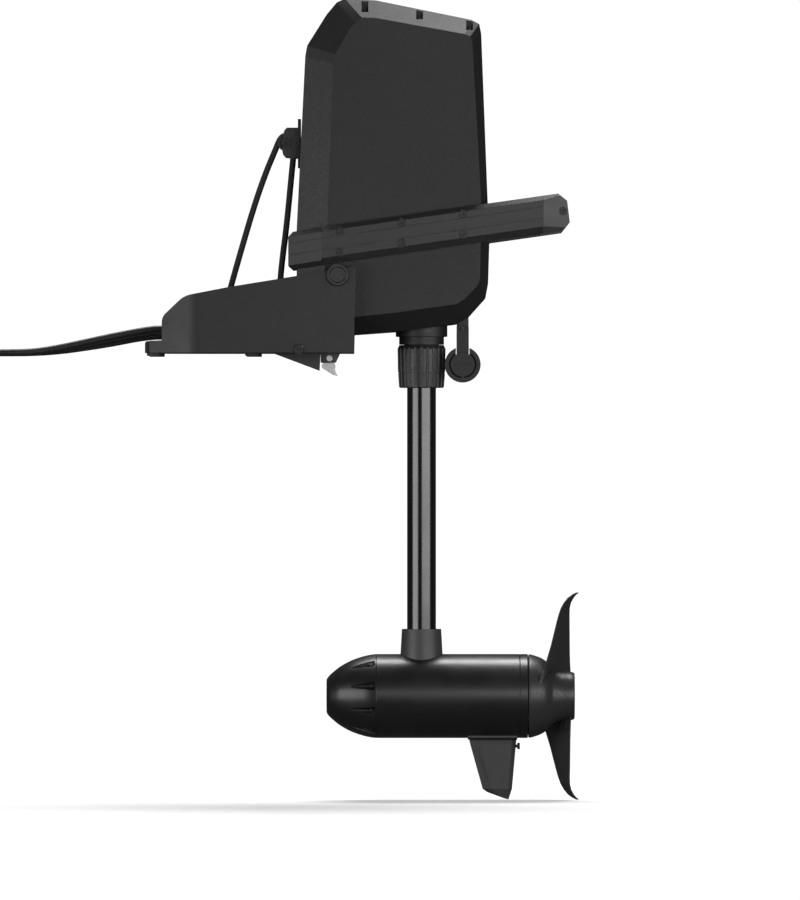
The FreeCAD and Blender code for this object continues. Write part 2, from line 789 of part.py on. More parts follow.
def guide_block():
    """The rope guide: a backing plate and two cheeks either side of the sheave."""
    plate = block("guide_plate", (121.2, -20.0, 245.0), (125.0, 20.0, 308.0))
    outline = [
        (121.4, 257.0), (105.4, 258.0), (101.7, 262.3), (100.2, 270.9), (103.3, 293.0),
        (106.8, 297.0), (121.4, 297.0),
    ]
    cheeks = []
    for i, y in enumerate((-6.2, 13.0)):
        cheek = padded("guide_cheek_%d" % i, "XZ_Plane", outline, 6.8)
        cheeks.append(place(cheek, 0, y, 0))
    frame = fuse("guide_frame", cheeks + [plate])
    bore = cylinder("guide_bore", 3.05, 40.0, D["guide_x"], -20.0, D["guide_z"], "Y")
    seats = [
        cylinder("guide_seat_%d" % i, 7.5, 2.0, D["guide_x"], y, D["guide_z"], "Y")
        for i, y in enumerate((-14.0, 12.0))
    ]
    head = feature("guide_clear", head_half_solid(1, 0.0).fuse(head_half_solid(-1, 0.0)))
    return keep(cut("guide_block", frame, [bore, head] + seats), "guide_block")


def guide_sheave():
    """The rope wheel at the top of the head."""
    profile = sheave_profile(3.05, D["guide_groove"], 11.0, 5.8)
    wheel = turned("guide_sheave", "XZ_Plane", profile)
    return keep(place(wheel, D["guide_x"], 0, D["guide_z"], V(0, 0, 1), 90.0), "guide_sheave")


def guide_bolt():
    """The sheave's bolt, with a socket head on each side."""
    shank = cylinder("guide_shank", 3.0, 27.0, D["guide_x"], -13.5, D["guide_z"], "Y")
    heads = [
        cylinder("guide_head_%d" % i, 5.8, 3.0, D["guide_x"], y, D["guide_z"], "Y")
        for i, y in enumerate((-15.05, 12.05))
    ]
    sockets = [
        cylinder("guide_socket_%d" % i, 2.2, 2.5, D["guide_x"], y, D["guide_z"], "Y")
        for i, y in enumerate((-15.6, 13.1))
    ]
    bolt = cut("guide_bolt", fuse("guide_bolt_blank", [shank] + heads), sockets)
    return keep(bolt, "guide_bolt")


def pivot_bushes():
    """Two flanged bushes in the head's sides that run on the pivot bolts."""
    bushes = []
    for side in (-1, 1):
        profile = [
            (D["head_half"] - 10.0, D["pivot_pin"] + 0.05),
            (D["plate_inside"] - 0.3, D["pivot_pin"] + 0.05),
            (D["plate_inside"] - 0.3, 14.0),
            (D["head_half"] - 10.0, 14.0),
        ]
        bush = turned("pivot_bush_%d" % (side + 2), "XZ_Plane", profile)
        bushes.append(place(bush, D["pivot_x"], 0, D["pivot_z"], V(0, 0, 1), 90.0 * side))
    return keep(group("pivot_bushes", bushes), "pivot_bushes")


def striker():
    """A strap under the head whose bar the latch hook closes on."""
    ears = []
    for i, y in enumerate((-9.0, 12.0)):
        ear = padded("striker_ear_%d" % i, "XZ_Plane",
                     [(170.5, 6.4), (178.5, 6.4), (186.0, 27.4), (163.0, 25.2)], 3.0)
        ears.append(place(ear, 0, y, 0))
    bar = cylinder("striker_bar", 3.0, 24.0, 174.5, -12.0, 10.2, "Y")
    head = feature("striker_clear", head_half_solid(1, 0.0).fuse(head_half_solid(-1, 0.0)))
    frame = fuse("striker_frame", ears + [bar])
    return keep(cut("striker", frame, [head]), "striker")


def outlet_flange():
    """The moulded neck under the head; the sleeve turns inside it."""
    profile = [
        (15.2, D["sleeve_radius"] + 0.4),
        (60.0, D["sleeve_radius"] + 0.4),
        (60.0, 26.0),
        (44.0, 26.0),
        (44.0, 33.6),
        (25.5, 33.6),
        (25.0, 29.2),
        (15.2, 29.2),
    ]
    neck = turned("outlet_neck", "XY_Plane", [(z, r) for z, r in profile])
    place(neck, D["shaft_x"], 0, 0, V(0, 1, 0), -90.0)
    head = feature("outlet_clear", head_half_solid(1, 0.0).fuse(head_half_solid(-1, 0.0)))
    lower = cut("outlet_lower", neck, [head])
    return keep(lower, "outlet_flange")


def ring(name, inner, outer, z, height):
    """A plain ring round the shaft's axis."""
    profile = [(z, inner), (z + height, inner), (z + height, outer), (z, outer)]
    made = turned(name, "XY_Plane", profile)
    return place(made, D["shaft_x"], 0, 0, V(0, 1, 0), -90.0)


def steering_frame():
    """Two cross plates in the head that hold the bearings and the steering motor."""
    plates = []
    for i, z in enumerate((74.0, 128.0)):
        outline = [(180.0, -50.0), (340.0, -50.0), (340.0, 50.0), (180.0, 50.0)]
        holes = [(D["shaft_x"], 0.0, 30.1), (D["shaft_x"] - 60.0, 0.0, 8.0 if i == 0 else 5.2)]
        plate = padded("frame_plate_%d" % i, "XY_Plane", outline, 4.0, holes=holes)
        plates.append(place(plate, 0, 0, z))
    posts = [
        cylinder("frame_post_%d" % i, 4.0, 52.0, x, y, 77.0)
        for i, (x, y) in enumerate([(190.0, -42.0), (330.0, -42.0), (330.0, 42.0), (190.0, 42.0)])
    ]
    return keep(fuse("steering_frame", plates + posts), "steering_frame")


def shaft_bearings():
    """The two bearing rings that the steering sleeve turns in."""
    rings = [ring("bearing_%d" % i, D["sleeve_radius"] + 0.05, 30.0, z, 8.0)
             for i, z in enumerate((72.0, 126.0))]
    return keep(group("shaft_bearings", rings), "shaft_bearings")


def toothed_disc(teeth, module, bore, thickness):
    """A spur gear with straight-flanked teeth, its axis on +Z and a tooth on +X."""
    pitch = teeth * module / 2
    tip = pitch + 0.9 * module
    root = pitch - 1.15 * module
    corners = []
    for i in range(teeth):
        middle = 2 * math.pi * i / teeth
        for radius, share in ((root, -0.33), (tip, -0.12), (tip, 0.12), (root, 0.33)):
            angle = middle + share * 2 * math.pi / teeth
            corners.append(V(radius * math.cos(angle), radius * math.sin(angle), 0))
    disc = Part.Face(Part.makePolygon(corners + corners[:1])).extrude(V(0, 0, thickness))
    return disc.cut(Part.makeCylinder(bore, thickness + 2, V(0, 0, -1)))


def steer_sleeve():
    """The tube that grips and turns the shaft, with its 48-tooth wheel; the depth collar's nut
    runs on its foot."""
    gear = feature("steer_gear", toothed_disc(48, 2.0, float(D["sleeve_radius"]) - 1.0, 10.0))
    place(gear, D["shaft_x"], 0, 96.0)
    tube_part = ring("sleeve_tube", D["shaft_radius"] + 0.06, D["sleeve_radius"], -38.0, 180.0)
    return keep(fuse("steer_sleeve", [tube_part, gear]), "steer_sleeve")


def steer_pinion():
    """The 12-tooth pinion on the steering motor's shaft, half a tooth round so that it meshes."""
    pinion = toothed_disc(12, 2.0, 2.0, 12.0).fuse(Part.makeCylinder(5.0, 36.0, V(0, 0, -1.0)))
    pinion = pinion.removeSplitter()
    thing = feature("steer_pinion", pinion)
    return keep(place(thing, D["shaft_x"] - 60.0, 0, 95.0, V(0, 0, 1), 15.0), "steer_pinion")


def steering_motor():
    """The geared motor above the frame, with a socket for the pinion's shaft."""
    can = turned("steering_can", "XY_Plane", [
        (132.3, 0.0), (215.0, 0.0), (215.0, 8.0), (209.0, 8.0), (209.0, 24.0), (132.3, 24.0),
    ])
    return keep(place(can, D["shaft_x"] - 60.0, 0, 0, V(0, 1, 0), -90.0), "steering_motor")


def control_board():
    """The control board with its blocks of parts, on the head's bow side."""
    parts = [block("board", (222.0, -42.0, 240.0), (224.0, 42.0, 380.0))]
    for i, (y, z) in enumerate([(-30.0, 250.0), (0.0, 262.0), (-28.0, 310.0), (4.0, 330.0)]):
        parts.append(block("board_part_%d" % i, (224.0, y, z), (232.0, y + 22.0, z + 28.0)))
    return keep(fuse("control_board", parts), "control_board")


def cable_glands():
    """The two glands in the head's rear face, near the pivot."""
    glands = []
    for i, (y, outer, wire) in enumerate([(-34.0, 9.0, D["power_width"]), (-18.0, 7.4, D["sonar_width"])]):
        profile = [
            (108.0, wire / 2 + 0.1), (130.0, wire / 2 + 0.1), (130.0, outer - 3.2),
            (119.6, outer - 3.2), (119.6, outer), (112.0, outer), (108.0, outer - 3.0),
        ]
        gland = turned("gland_%d" % i, "XY_Plane", profile)
        glands.append(place(gland, 0, y, 70.0))
    return keep(group("cable_glands", glands), "cable_glands")


def depth_collar():
    """The ribbed nut under the neck that sets the shaft's depth."""
    profile = [
        (-41.0, D["sleeve_radius"] + 0.05),
        (14.6, D["sleeve_radius"] + 0.05),
        (14.6, 29.0),
        (9.5, 31.3),
        (-21.0, 30.7),
        (-21.0, 29.7),
        (-21.9, 29.7),
        (-21.9, 30.5),
        (-39.8, 29.3),
        (-41.0, 27.8),
    ]
    body = turned("collar_blank", "XY_Plane", profile)
    place(body, D["shaft_x"], 0, 0, V(0, 1, 0), -90.0)
    ribs = []
    for i in range(24):
        groove = Part.makeCylinder(1.9, 56.0, V(30.1, 0, -42.0), V(1.9, 0, 50.0))
        groove.rotate(V(0, 0, 0), V(0, 0, 1), 15.0 * i)
        ribs.append(groove.translated(V(D["shaft_x"], 0, 0)))
    grooves = feature("collar_grooves", Part.makeCompound(ribs))
    return keep(cut("depth_collar", body, [grooves]), "depth_collar")


def cap_strap():
    """The dust cap on its rubber strap, with a coin slot; it hangs from a pin in the head."""
    strap = block("strap_web", (CAP_X - 8.0, CAP_Y - 2.0, CAP_Z), (CAP_X + 8.0, CAP_Y + 2.0, 38.0))
    loop = cylinder("strap_loop", 6.0, 4.0, CAP_X, CAP_Y - 2.0, 36.0, "Y")
    disc = cylinder("cap_disc", 15.7, 9.0, CAP_X, CAP_Y - 4.5, CAP_Z, "Y")
    slot = block("coin_slot", (CAP_X - 11.0, CAP_Y - 6.0, CAP_Z - 0.8),
                 (CAP_X + 11.0, CAP_Y - 3.5, CAP_Z + 0.8))
    bore = cylinder("strap_bore", 2.55, 20.0, CAP_X, CAP_Y - 10.0, 36.0, "Y")
    blank = fuse("cap_blank", [strap, loop, disc])
    return keep(cut("cap_strap", blank, [slot, bore]), "cap_strap")


def cap_ring():
    """The open ring round the cap, with a thin web behind it."""
    outer = Part.makeCylinder(23.3, 10.0, V(CAP_X, CAP_Y - 3.5, CAP_Z), V(0, 1, 0))
    hollow = Part.makeCylinder(17.6, 9.3, V(CAP_X, CAP_Y - 4.5, CAP_Z), V(0, 1, 0))
    mouth = Part.makeBox(17.6, 14.0, 30.0, V(CAP_X - 8.8, CAP_Y - 6.0, CAP_Z + 13.0))
    made = outer.cut(hollow).cut(mouth)
    bridge = Part.makeBox(4.0, 5.0, 3.0, V(CAP_X - 2.0, CAP_Y - 2.5, CAP_Z - 18.2))
    return keep(feature("cap_ring", made.fuse(bridge).removeSplitter()), "cap_ring")


def make_head():
    head_shell("head_shell_near", -1)
    head_shell("head_shell_far", 1)
    head_screws()
    side_rails()
    rail_rear()
    grip_bar()
    rail_screws()
    guide_block()
    guide_sheave()
    guide_bolt()
    pivot_bushes()
    striker()
    outlet_flange()
    steering_frame()
    shaft_bearings()
    steer_sleeve()
    steer_pinion()
    steering_motor()
    control_board()
    cable_glands()
    depth_collar()
    cap_strap()
    cap_ring()


# ---------------------------------------------------------------- the shaft and the motor

def shaft_tube():
    length = D["shaft_top"] - D["shaft_foot"]
    return keep(ring("shaft_tube", D["shaft_bore"], D["shaft_radius"], D["shaft_foot"], length),
                "shaft_tube")


def shaft_cable():
    """The motor's lead inside the shaft."""
    lead = cylinder("shaft_cable", 6.0, D["shaft_top"] - D["shaft_foot"] - 10.0, D["shaft_x"], 0,
                    D["shaft_foot"] + 1.0)
    return keep(lead, "shaft_cable")


def motor_collar():
    """The cast saddle that joins the shaft to the motor's body."""
    cone = Part.makeCone(28.3, 25.6, 48.6, V(D["shaft_x"], 0, -403.0))
    bore = Part.makeCylinder(D["shaft_radius"] + 0.05, 60.0, V(D["shaft_x"], 0, -405.0))
    blank = feature("motor_collar_blank", cone.cut(bore))
    body = cylinder("collar_saddle", D["motor_radius"] + 0.1, 120.0, D["shaft_x"] - 60.0, 0,
                    D["motor_z"], "X")
    return keep(cut("motor_collar", blank, [body]), "motor_collar")


def along_motor(name, profile):
    """A body turned about the motor's axis, from (x, radius) points."""
    return place(turned(name, "XZ_Plane", profile), 0, 0, D["motor_z"])


def motor_housing():
    """The motor's tube, with the hole that the shaft's lead comes through."""
    back = D["motor_rear"] - D["bell_width"]
    tube = along_motor("motor_tube", [
        (D["motor_front"], D["motor_radius"] - D["motor_wall"]),
        (back, D["motor_radius"] - D["motor_wall"]),
        (back, D["motor_radius"] - 0.5),
        (back - 0.6, D["motor_radius"]),
        (D["motor_front"] + 0.8, D["motor_radius"]),
        (D["motor_front"], D["motor_radius"] - 0.6),
    ])
    hole = cylinder("lead_hole", 9.0, 30.0, D["shaft_x"], 0, D["motor_z"] + 40.0)
    return keep(cut("motor_housing", tube, [hole]), "motor_housing")


NOSE_SCREWS = 10


def nose_cone():
    """The domed nose with a flat end and ten scalloped screw recesses."""
    tip = float(D["nose_tip"])
    shell = dome([
        (tip, 21.5), (tip + 2.4, 25.2), (tip + 8.2, 30.9), (tip + 15.2, 36.6), (tip + 24.5, 42.4),
        (tip + 33.7, 46.9), (tip + 43.0, 50.2), (tip + 52.3, 52.8),
        (float(D["motor_front"]), float(D["motor_radius"])),
    ])
    spigot = Part.makeCylinder(D["motor_radius"] - D["motor_wall"] - 0.05, 6.0,
                               V(D["motor_front"], 0, D["motor_z"]), V(1, 0, 0))
    blank = feature("nose_blank", shell.fuse(spigot).removeSplitter())
    scallops = []
    for i in range(NOSE_SCREWS):
        scoop = Part.makeCone(1.2, 7.5, 35.0, V(tip + 32.0, 0, 47.0), V(1, 0, 0.343))
        way_in = Part.makeCylinder(2.9, 18.3, V(D["motor_front"] - 22.0, 0, 50.6), V(1, 0, 0))
        scoop = scoop.fuse(way_in)
        scoop.rotate(V(0, 0, 0), V(1, 0, 0), 2.0 + 360.0 / NOSE_SCREWS * i)
        scallops.append(scoop.translated(V(0, 0, D["motor_z"])))
    seats = Part.makeCylinder(70.0, 8.0, V(D["motor_front"] - 1.6, 0, D["motor_z"]), V(1, 0, 0))
    scoops = Part.makeCompound(scallops).cut(seats)
    return keep(cut("nose_cone", blank, [feature("nose_scallops", scoops)]), "nose_cone")


def rear_bell():
    """The rear end bell, with the bore that the rotor shaft comes through."""
    front = D["motor_rear"] - D["bell_width"] + 0.1
    bell = along_motor("rear_bell_body", [
        (front, 9.0),
        (front, D["motor_radius"] - 0.5),
        (front + 0.6, D["motor_radius"]),
        (D["motor_rear"] - 1.2, D["motor_radius"]),
        (D["motor_rear"] - 0.2, D["motor_radius"] - 1.0),
        (D["motor_rear"] - 0.2, 9.0),
    ])
    return keep(bell, "rear_bell")


def stator():
    """The stator rings inside the tube."""
    core = along_motor("stator", [
        (D["motor_front"] + 60.0, 31.0), (D["motor_rear"] - 40.0, 31.0),
        (D["motor_rear"] - 40.0, D["motor_radius"] - D["motor_wall"] - 0.1),
        (D["motor_front"] + 60.0, D["motor_radius"] - D["motor_wall"] - 0.1),
    ])
    return keep(core, "stator")


def motor_bearings():
    """Ball bearings in the nose end and the rear bell, each a ring on the rotor's shaft."""
    rings = []
    for i, x in enumerate((D["motor_front"] + 20.0, D["motor_rear"] - 24.0)):
        rings.append(along_motor("motor_bearing_%d" % i, [
            (x, 8.05), (x + 9.0, 8.05), (x + 9.0, D["motor_radius"] - D["motor_wall"] - 0.1),
            (x, D["motor_radius"] - D["motor_wall"] - 0.1),
        ]))
    return keep(group("motor_bearings", rings), "motor_bearings")


def rotor():
    """The rotor with its magnets and the shaft that carries the propeller."""
    body = along_motor("rotor", [
        (D["motor_front"] + 18.0, 0.0), (D["hub_end"] - 14.0, 0.0), (D["hub_end"] - 14.0, 5.0),
        (D["motor_rear"] + 24.0, 5.0), (D["motor_rear"] + 24.0, 8.0), (D["motor_rear"] - 42.0, 8.0),
        (D["motor_rear"] - 42.0, 30.0), (D["motor_front"] + 62.0, 30.0),
        (D["motor_front"] + 62.0, 8.0), (D["motor_front"] + 18.0, 8.0),
    ])
    return keep(body, "rotor")


def skeg_section(z, lead, trail, half):
    """The skeg's six-sided section at one height; the facets meet on flat sides."""
    return Part.makePolygon([
        V(lead, 0, z), V(lead + 11.7, -half, z), V(trail - 5.8, -half, z), V(trail, 0, z),
        V(trail - 5.8, half, z), V(lead + 11.7, half, z), V(lead, 0, z),
    ])


def skeg():
    """The fin under the motor, with the saddle it is screwed on by."""
    sections = [
        skeg_section(-489.0, 341.5, 406.5, 7.5),
        skeg_section(-504.0, 345.0, 404.5, 6.5),
        skeg_section(-562.0, 361.0, 399.5, 5.0),
    ]
    tip = Part.makePolygon([
        V(367.0, 0, -566.5), V(375.0, -2.0, -569.0), V(389.0, -2.0, -574.5), V(395.0, 0, -575.8),
        V(389.0, 2.0, -574.5), V(375.0, 2.0, -569.0), V(367.0, 0, -566.5),
    ])
    fin_body = solid_loft(sections + [tip])
    saddle = Part.makeBox(64.0, 40.0, 22.0, V(342.0, -20.0, -498.0))
    saddle = saddle.common(Part.makeCylinder(D["motor_radius"] + 2.6, 80.0,
                                             V(335.0, 0, D["motor_z"]), V(1, 0, 0)))
    tube = Part.makeCylinder(D["motor_radius"] + 0.1, 120.0, V(320.0, 0, D["motor_z"]), V(1, 0, 0))
    fin = fin_body.fuse(saddle).cut(tube)
    fin = fin.cut(Part.makeCylinder(2.05, 14.0, V(396.0, 0, -506.5), V(1, 0, 0)))
    return keep(feature("skeg", fin), "skeg")


def motor_screws():
    """The skeg's screw at its rear, and the nose screws in their recesses."""
    screws = []
    screw = Part.makeCylinder(2.0, 11.0, V(396.5, 0, -506.5), V(1, 0, 0))
    screws.append(screw.fuse(Part.makeCylinder(4.2, 3.4, V(406.2, 0, -506.5), V(1, 0, 0))))
    for i in range(NOSE_SCREWS):
        nose = Part.makeCylinder(2.8, 5.0, V(D["motor_front"] - 8.7, 0, 50.6), V(1, 0, 0))
        nose.rotate(V(0, 0, 0), V(1, 0, 0), 2.0 + 360.0 / NOSE_SCREWS * i)
        screws.append(nose.translated(V(0, 0, D["motor_z"])))
    return keep(feature("motor_screws", Part.makeCompound(screws)), "motor_screws")


BLADE_STATIONS = [     # radius, leading edge x, trailing edge x, lead turn, trail turn (degrees)
    (28.0, 427.0, 475.5, -92.0, 30.0),
    (50.0, 430.5, 474.5, -82.0, 26.0),
    (60.0, 440.5, 474.2, -54.0, 20.0),
    (75.0, 449.8, 474.0, -29.0, 14.0),
    (98.0, 457.4, 473.8, -13.0, 8.0),
    (107.0, 460.2, 473.7, -9.0, 7.0),
    (115.0, 463.3, 474.0, -6.0, 6.0),
    (122.0, 467.4, 475.7, -4.0, 5.0),
    (128.0, 472.4, 479.2, -2.0, 4.0),
    (132.0, 478.0, 482.6, -0.5, 3.6),
    (134.6, 483.4, 486.3, 1.0, 3.2),
]


def blade(turn):
    """One swept blade, lofted through thin sections on cylinders round the hub's axis."""
    wires = []
    for radius, lead, trail, first, last in BLADE_STATIONS:
        outer = []
        inner = []
        for i in range(9):
            share = i / 8.0
            x = lead + (trail - lead) * share
            angle = math.radians(first + (last - first) * share)
            half = 0.9 + (2.2 * (1 - radius / 150.0)) * math.sin(math.pi * share)
            normal = V((last - first) * radius / 57.3, 0, 0)
            along = V(0, trail - lead, 0)
            size = math.hypot(normal.x, along.y)
            off_x = half * normal.x / size
            off_y = half * along.y / size
            centre_y = radius * math.sin(angle)
            centre_z = radius * math.cos(angle)
            outer.append(V(x + off_x, centre_y - off_y, centre_z))
            inner.append(V(x - off_x, centre_y + off_y, centre_z))
        corners = outer + inner[::-1]
        wires.append(Part.makePolygon(corners + corners[:1]))
    made = solid_loft(wires)
    made.rotate(V(0, 0, 0), V(1, 0, 0), turn)
    return made.translated(V(0, 0, D["motor_z"]))


def propeller():
    """The moulded hub with its two blades and the bore for the shaft."""
    joint = D["motor_rear"] + 0.8
    end = float(D["hub_end"])
    hub = dome([
        (joint - 0.4, 53.2), (joint + 0.4, 54.0), (joint + 4.0, 53.8), (joint + 10.0, 52.0),
        (joint + 16.0, 49.6), (joint + 22.0, 45.8), (joint + 27.0, 41.0), (joint + 31.5, 36.8),
        (joint + 37.0, 34.3), (joint + 46.0, 32.4), (end - 2.6, 31.0), (end - 0.6, 30.0), (end, 28.6),
    ])
    for radius, start, finish in ((36.0, -1.0, 14.0), (8.4, 13.0, 23.4), (5.0, 22.0, 60.0)):
        hub = hub.cut(Part.makeCylinder(radius, finish - start, V(joint + start, 0, D["motor_z"]),
                                        V(1, 0, 0)))
    hub = hub.cut(Part.makeCylinder(20.0, 14.0, V(end - 12.0, 0, D["motor_z"]), V(1, 0, 0)))
    recess = Part.makeCylinder(26.0, 40.0, V(D["hub_end"] - 38.0, 0, D["motor_z"]), V(1, 0, 0))
    hollow = Part.makeCylinder(36.0, 54.0, V(joint - 40.0, 0, D["motor_z"]), V(1, 0, 0))
    front = Part.makeCylinder(60.0, 40.0, V(joint - 40.0, 0, D["motor_z"]), V(1, 0, 0))
    blades = blade(0.0).fuse(blade(180.0)).cut(recess).cut(hollow).cut(front)
    made = hub.fuse(blades).removeSplitter()
    return keep(feature("propeller", made), "propeller")


def prop_nut():
    """The propeller nut and its washer, in the hub's hollow end."""
    washer = Part.makeCylinder(11.0, 1.5, V(D["hub_end"] - 11.9, 0, D["motor_z"]), V(1, 0, 0))
    corners = [
        V(D["hub_end"] - 10.4, 8.0 * math.cos(math.radians(60 * i)),
          D["motor_z"] + 8.0 * math.sin(math.radians(60 * i))) for i in range(7)
    ]
    nut = Part.Face(Part.makePolygon(corners)).extrude(V(7.0, 0, 0))
    stud = Part.makeCylinder(5.05, 3.0, V(D["hub_end"] - 14.0, 0, D["motor_z"]), V(1, 0, 0))
    return keep(feature("prop_nut", washer.fuse(nut).cut(stud)), "prop_nut")


def make_shaft():
    shaft_tube()
    shaft_cable()
    motor_collar()
    motor_housing()
    nose_cone()
    rear_bell()
    stator()
    motor_bearings()
    rotor()
    skeg()
    motor_screws()
    propeller()
    prop_nut()


# ---------------------------------------------------------------- the cables and the rope

ROPE_LEGS = [          # from the anchor up over the head's sheave and down to the base sheave
    (97.0, 0.0, 16.1), (97.0, 0.0, 60.0), (97.9, 0.0, 98.0), (101.3, 0.0, 130.0), (105.7, 0.0, 164.0),
    (109.6, 0.0, 202.0), (113.4, 0.0, 242.0), (115.9, 0.0, 266.0), (115.9, 0.0, 282.2),
    (108.1, 0.0, 288.2), (98.7, 0.2, 285.4), (90.8, 1.0, 266.0), (79.5, 4.0, 239.5),
    (65.0, 10.0, 198.5), (51.0, 16.0, 152.0), (38.0, 21.5, 107.0), (26.5, 26.0, 66.0),
    (15.4, 28.0, 21.8), (-4.0, 28.0, 21.8),
]
PULL_ROPE = [          # aft over the rear block and out along the deck
    (-4.05, 28.0, 21.8), (-28.0, 27.0, 24.0), (-56.0, 25.0, 26.6), (-84.0, 23.0, 24.0),
    (-116.0, 22.0, 17.6), (-150.0, 22.0, 12.0), (-186.0, 23.0, 7.0), (-222.0, 24.0, 4.3),
    (-262.0, 24.0, 4.1), (-324.0, 24.0, 4.1),
]
ROPE_TAIL = [
    (-368.0, 72.0, 12.1), (-368.0, 86.0, 12.1), (-365.5, 100.0, 12.1), (-359.5, 112.5, 11.4),
    (-354.5, 124.5, 10.2), (-352.0, 137.5, 9.5),
]
POWER_CABLE = [
    (24.0, -34.0, 18.0), (0.0, -33.5, 20.0), (-26.0, -32.0, 29.0), (-54.0, -31.0, 36.6),
    (-84.0, -30.0, 32.4), (-116.0, -30.0, 26.2), (-150.0, -30.0, 18.8), (-186.0, -30.0, 11.0),
    (-220.0, -30.0, 5.4), (-256.0, -30.0, 4.5), (-330.0, -30.0, 4.5),
]
POWER_TAIL = [
    (-379.5, -84.0, 13.3), (-379.5, -98.0, 13.3), (-378.0, -114.0, 13.3), (-374.0, -130.0, 11.0),
    (-368.0, -146.0, 7.6),
]
SONAR_CABLE = [
    (24.0, -18.0, 18.0), (0.0, -16.5, 18.0), (-26.0, -14.0, 24.0), (-54.0, -11.0, 31.0),
    (-84.0, -8.0, 27.4), (-116.0, -5.0, 21.4), (-150.0, -3.0, 14.6), (-186.0, -2.0, 8.0),
    (-220.0, -1.5, 3.8), (-248.0, -1.5, 3.6), (-276.0, -1.5, 3.6),
]
POWER_LOOP = [
    (36.0, -34.0, 18.0), (54.0, -34.0, 18.2), (72.0, -34.0, 29.0), (78.0, -34.0, 52.0),
    (90.0, -34.0, 69.5), (108.0, -34.0, 70.0),
]
SONAR_LOOP = [
    (36.0, -18.0, 18.0), (56.0, -18.0, 18.2), (75.0, -18.0, 29.0), (80.0, -18.0, 52.0),
    (91.0, -18.0, 69.5), (108.0, -18.0, 70.0),
]


def tube(name, route, width):
    """A round cord along straight runs that are joined by tangent arcs."""
    points = [V(*point) for point in route]
    edges = []
    radii = []
    start = points[0]
    for before, corner, after in zip(points, points[1:], points[2:]):
        coming = corner - before
        leaving = after - corner
        run = 0.45 * min(coming.Length, leaving.Length)
        turn = coming.getAngle(leaving)
        one = V(coming).normalize()
        two = V(leaving).normalize()
        bend_in = corner - one * run
        bend_out = corner + two * run
        radius = run / math.tan(turn / 2)
        radii.append(radius)
        inward = (two - one).normalize()
        middle = corner + inward * (radius / math.cos(turn / 2) - radius)
        edges.append(Part.LineSegment(start, bend_in).toShape())
        edges.append(Part.Arc(bend_in, middle, bend_out).toShape())
        start = bend_out
    edges.append(Part.LineSegment(start, points[-1]).toShape())
    path = Part.Wire(edges)
    heading = points[1] - points[0]
    profile = Part.Wire(Part.makeCircle(width / 2, points[0], heading))
    solid = path.makePipeShell([profile], True, False)
    expected = math.pi * width * width / 4 * path.Length
    print("%-12s length %6.0f  tightest %5.1f  volume %.3f of section x length" % (
        name, path.Length, min(radii), solid.Volume / expected))
    return solid


def coil(name, x, y, radius, width, across, high):
    """The outer form of a round coil that lies flat: a ring, narrower at the top."""
    low = width / 2 * across
    top = width / 2 * (across if high < 2 or across < 2 else across - 1)
    height = width * (1 + 0.9 * (high - 1)) + 0.1
    profile = [
        (0.0, radius - low), (width * 0.8, radius - low), (height, radius - top),
        (height, radius + top), (width * 0.8, radius + low), (0.0, radius + low),
    ]
    made = turned(name, "XY_Plane", profile)
    return keep(place(made, x, y, 0.02, V(0, 1, 0), -90.0), name)


def power_plug():
    """The two-pole plug on the power cable, lying on the deck."""
    grip = block("plug_grip", (0.0, -11.0, 0.0), (30.0, 11.0, 15.0))
    nose = block("plug_nose", (30.0, -9.0, 1.5), (44.0, 9.0, 13.5))
    holes = [cylinder("plug_pole_%d" % i, 2.6, 12.0, 33.0, y, 7.5, "X") for i, y in enumerate((-4.5, 4.5))]
    plug = cut("power_plug", fuse("plug_blank", [grip, nose]), holes)
    place(plug, -368.0, -146.0, 0.02, V(0, 0, 1), -70.0)
    return keep(plug, "power_plug")


def sonar_plug():
    """The round screw-lock plug on the sonar cable."""
    profile = [
        (0.0, 0.0), (0.0, 5.0), (14.0, 6.5), (14.0, 8.0), (30.0, 8.0), (30.0, 6.0), (36.0, 6.0),
        (36.0, 0.0),
    ]
    plug = turned("sonar_plug", "XZ_Plane", profile)
    return keep(place(plug, -276.05, -1.5, 8.05, V(0, 0, 1), 180.0), "sonar_plug")


def rope_handle():
    """The tee handle at the pull rope's end, lying flat."""
    grip = cylinder("handle_grip", 9.5, 84.0, 0.0, -42.0, 0.0, "Y")
    stem = cylinder("handle_stem", 7.0, 22.0, 0.0, 0.0, 0.0, "X")
    handle = fuse("rope_handle", [grip, stem])
    return keep(place(handle, -352.0, 159.5, 9.55, V(0, 0, 1), -90.0), "rope_handle")


def make_cords():
    rope = D["rope_width"]
    power = D["power_width"]
    sonar = D["sonar_width"]
    keep(feature("rope_legs", tube("rope_legs", ROPE_LEGS, rope)), "rope_legs")
    pull = [tube("pull_rope", PULL_ROPE, rope), tube("rope_tail", ROPE_TAIL, rope)]
    keep(feature("pull_rope", Part.makeCompound(pull)), "pull_rope")
    coil("rope_coil", -324.0, 72.0, 44.0, rope, 2, 2)
    rope_handle()
    supply = [tube("power_cable", POWER_CABLE, power), tube("power_tail", POWER_TAIL, power)]
    keep(feature("power_cable", Part.makeCompound(supply)), "power_cable")
    coil("power_coil", -330.0, -84.0, 49.5, power, 2, 2)
    power_plug()
    keep(feature("sonar_cable", tube("sonar_cable", SONAR_CABLE, sonar)), "sonar_cable")
    sonar_plug()
    loops = [tube("power_loop", POWER_LOOP, power), tube("sonar_loop", SONAR_LOOP, sonar)]
    keep(feature("head_cables", Part.makeCompound(loops)), "head_cables")


# ---------------------------------------------------------------- build, check and write

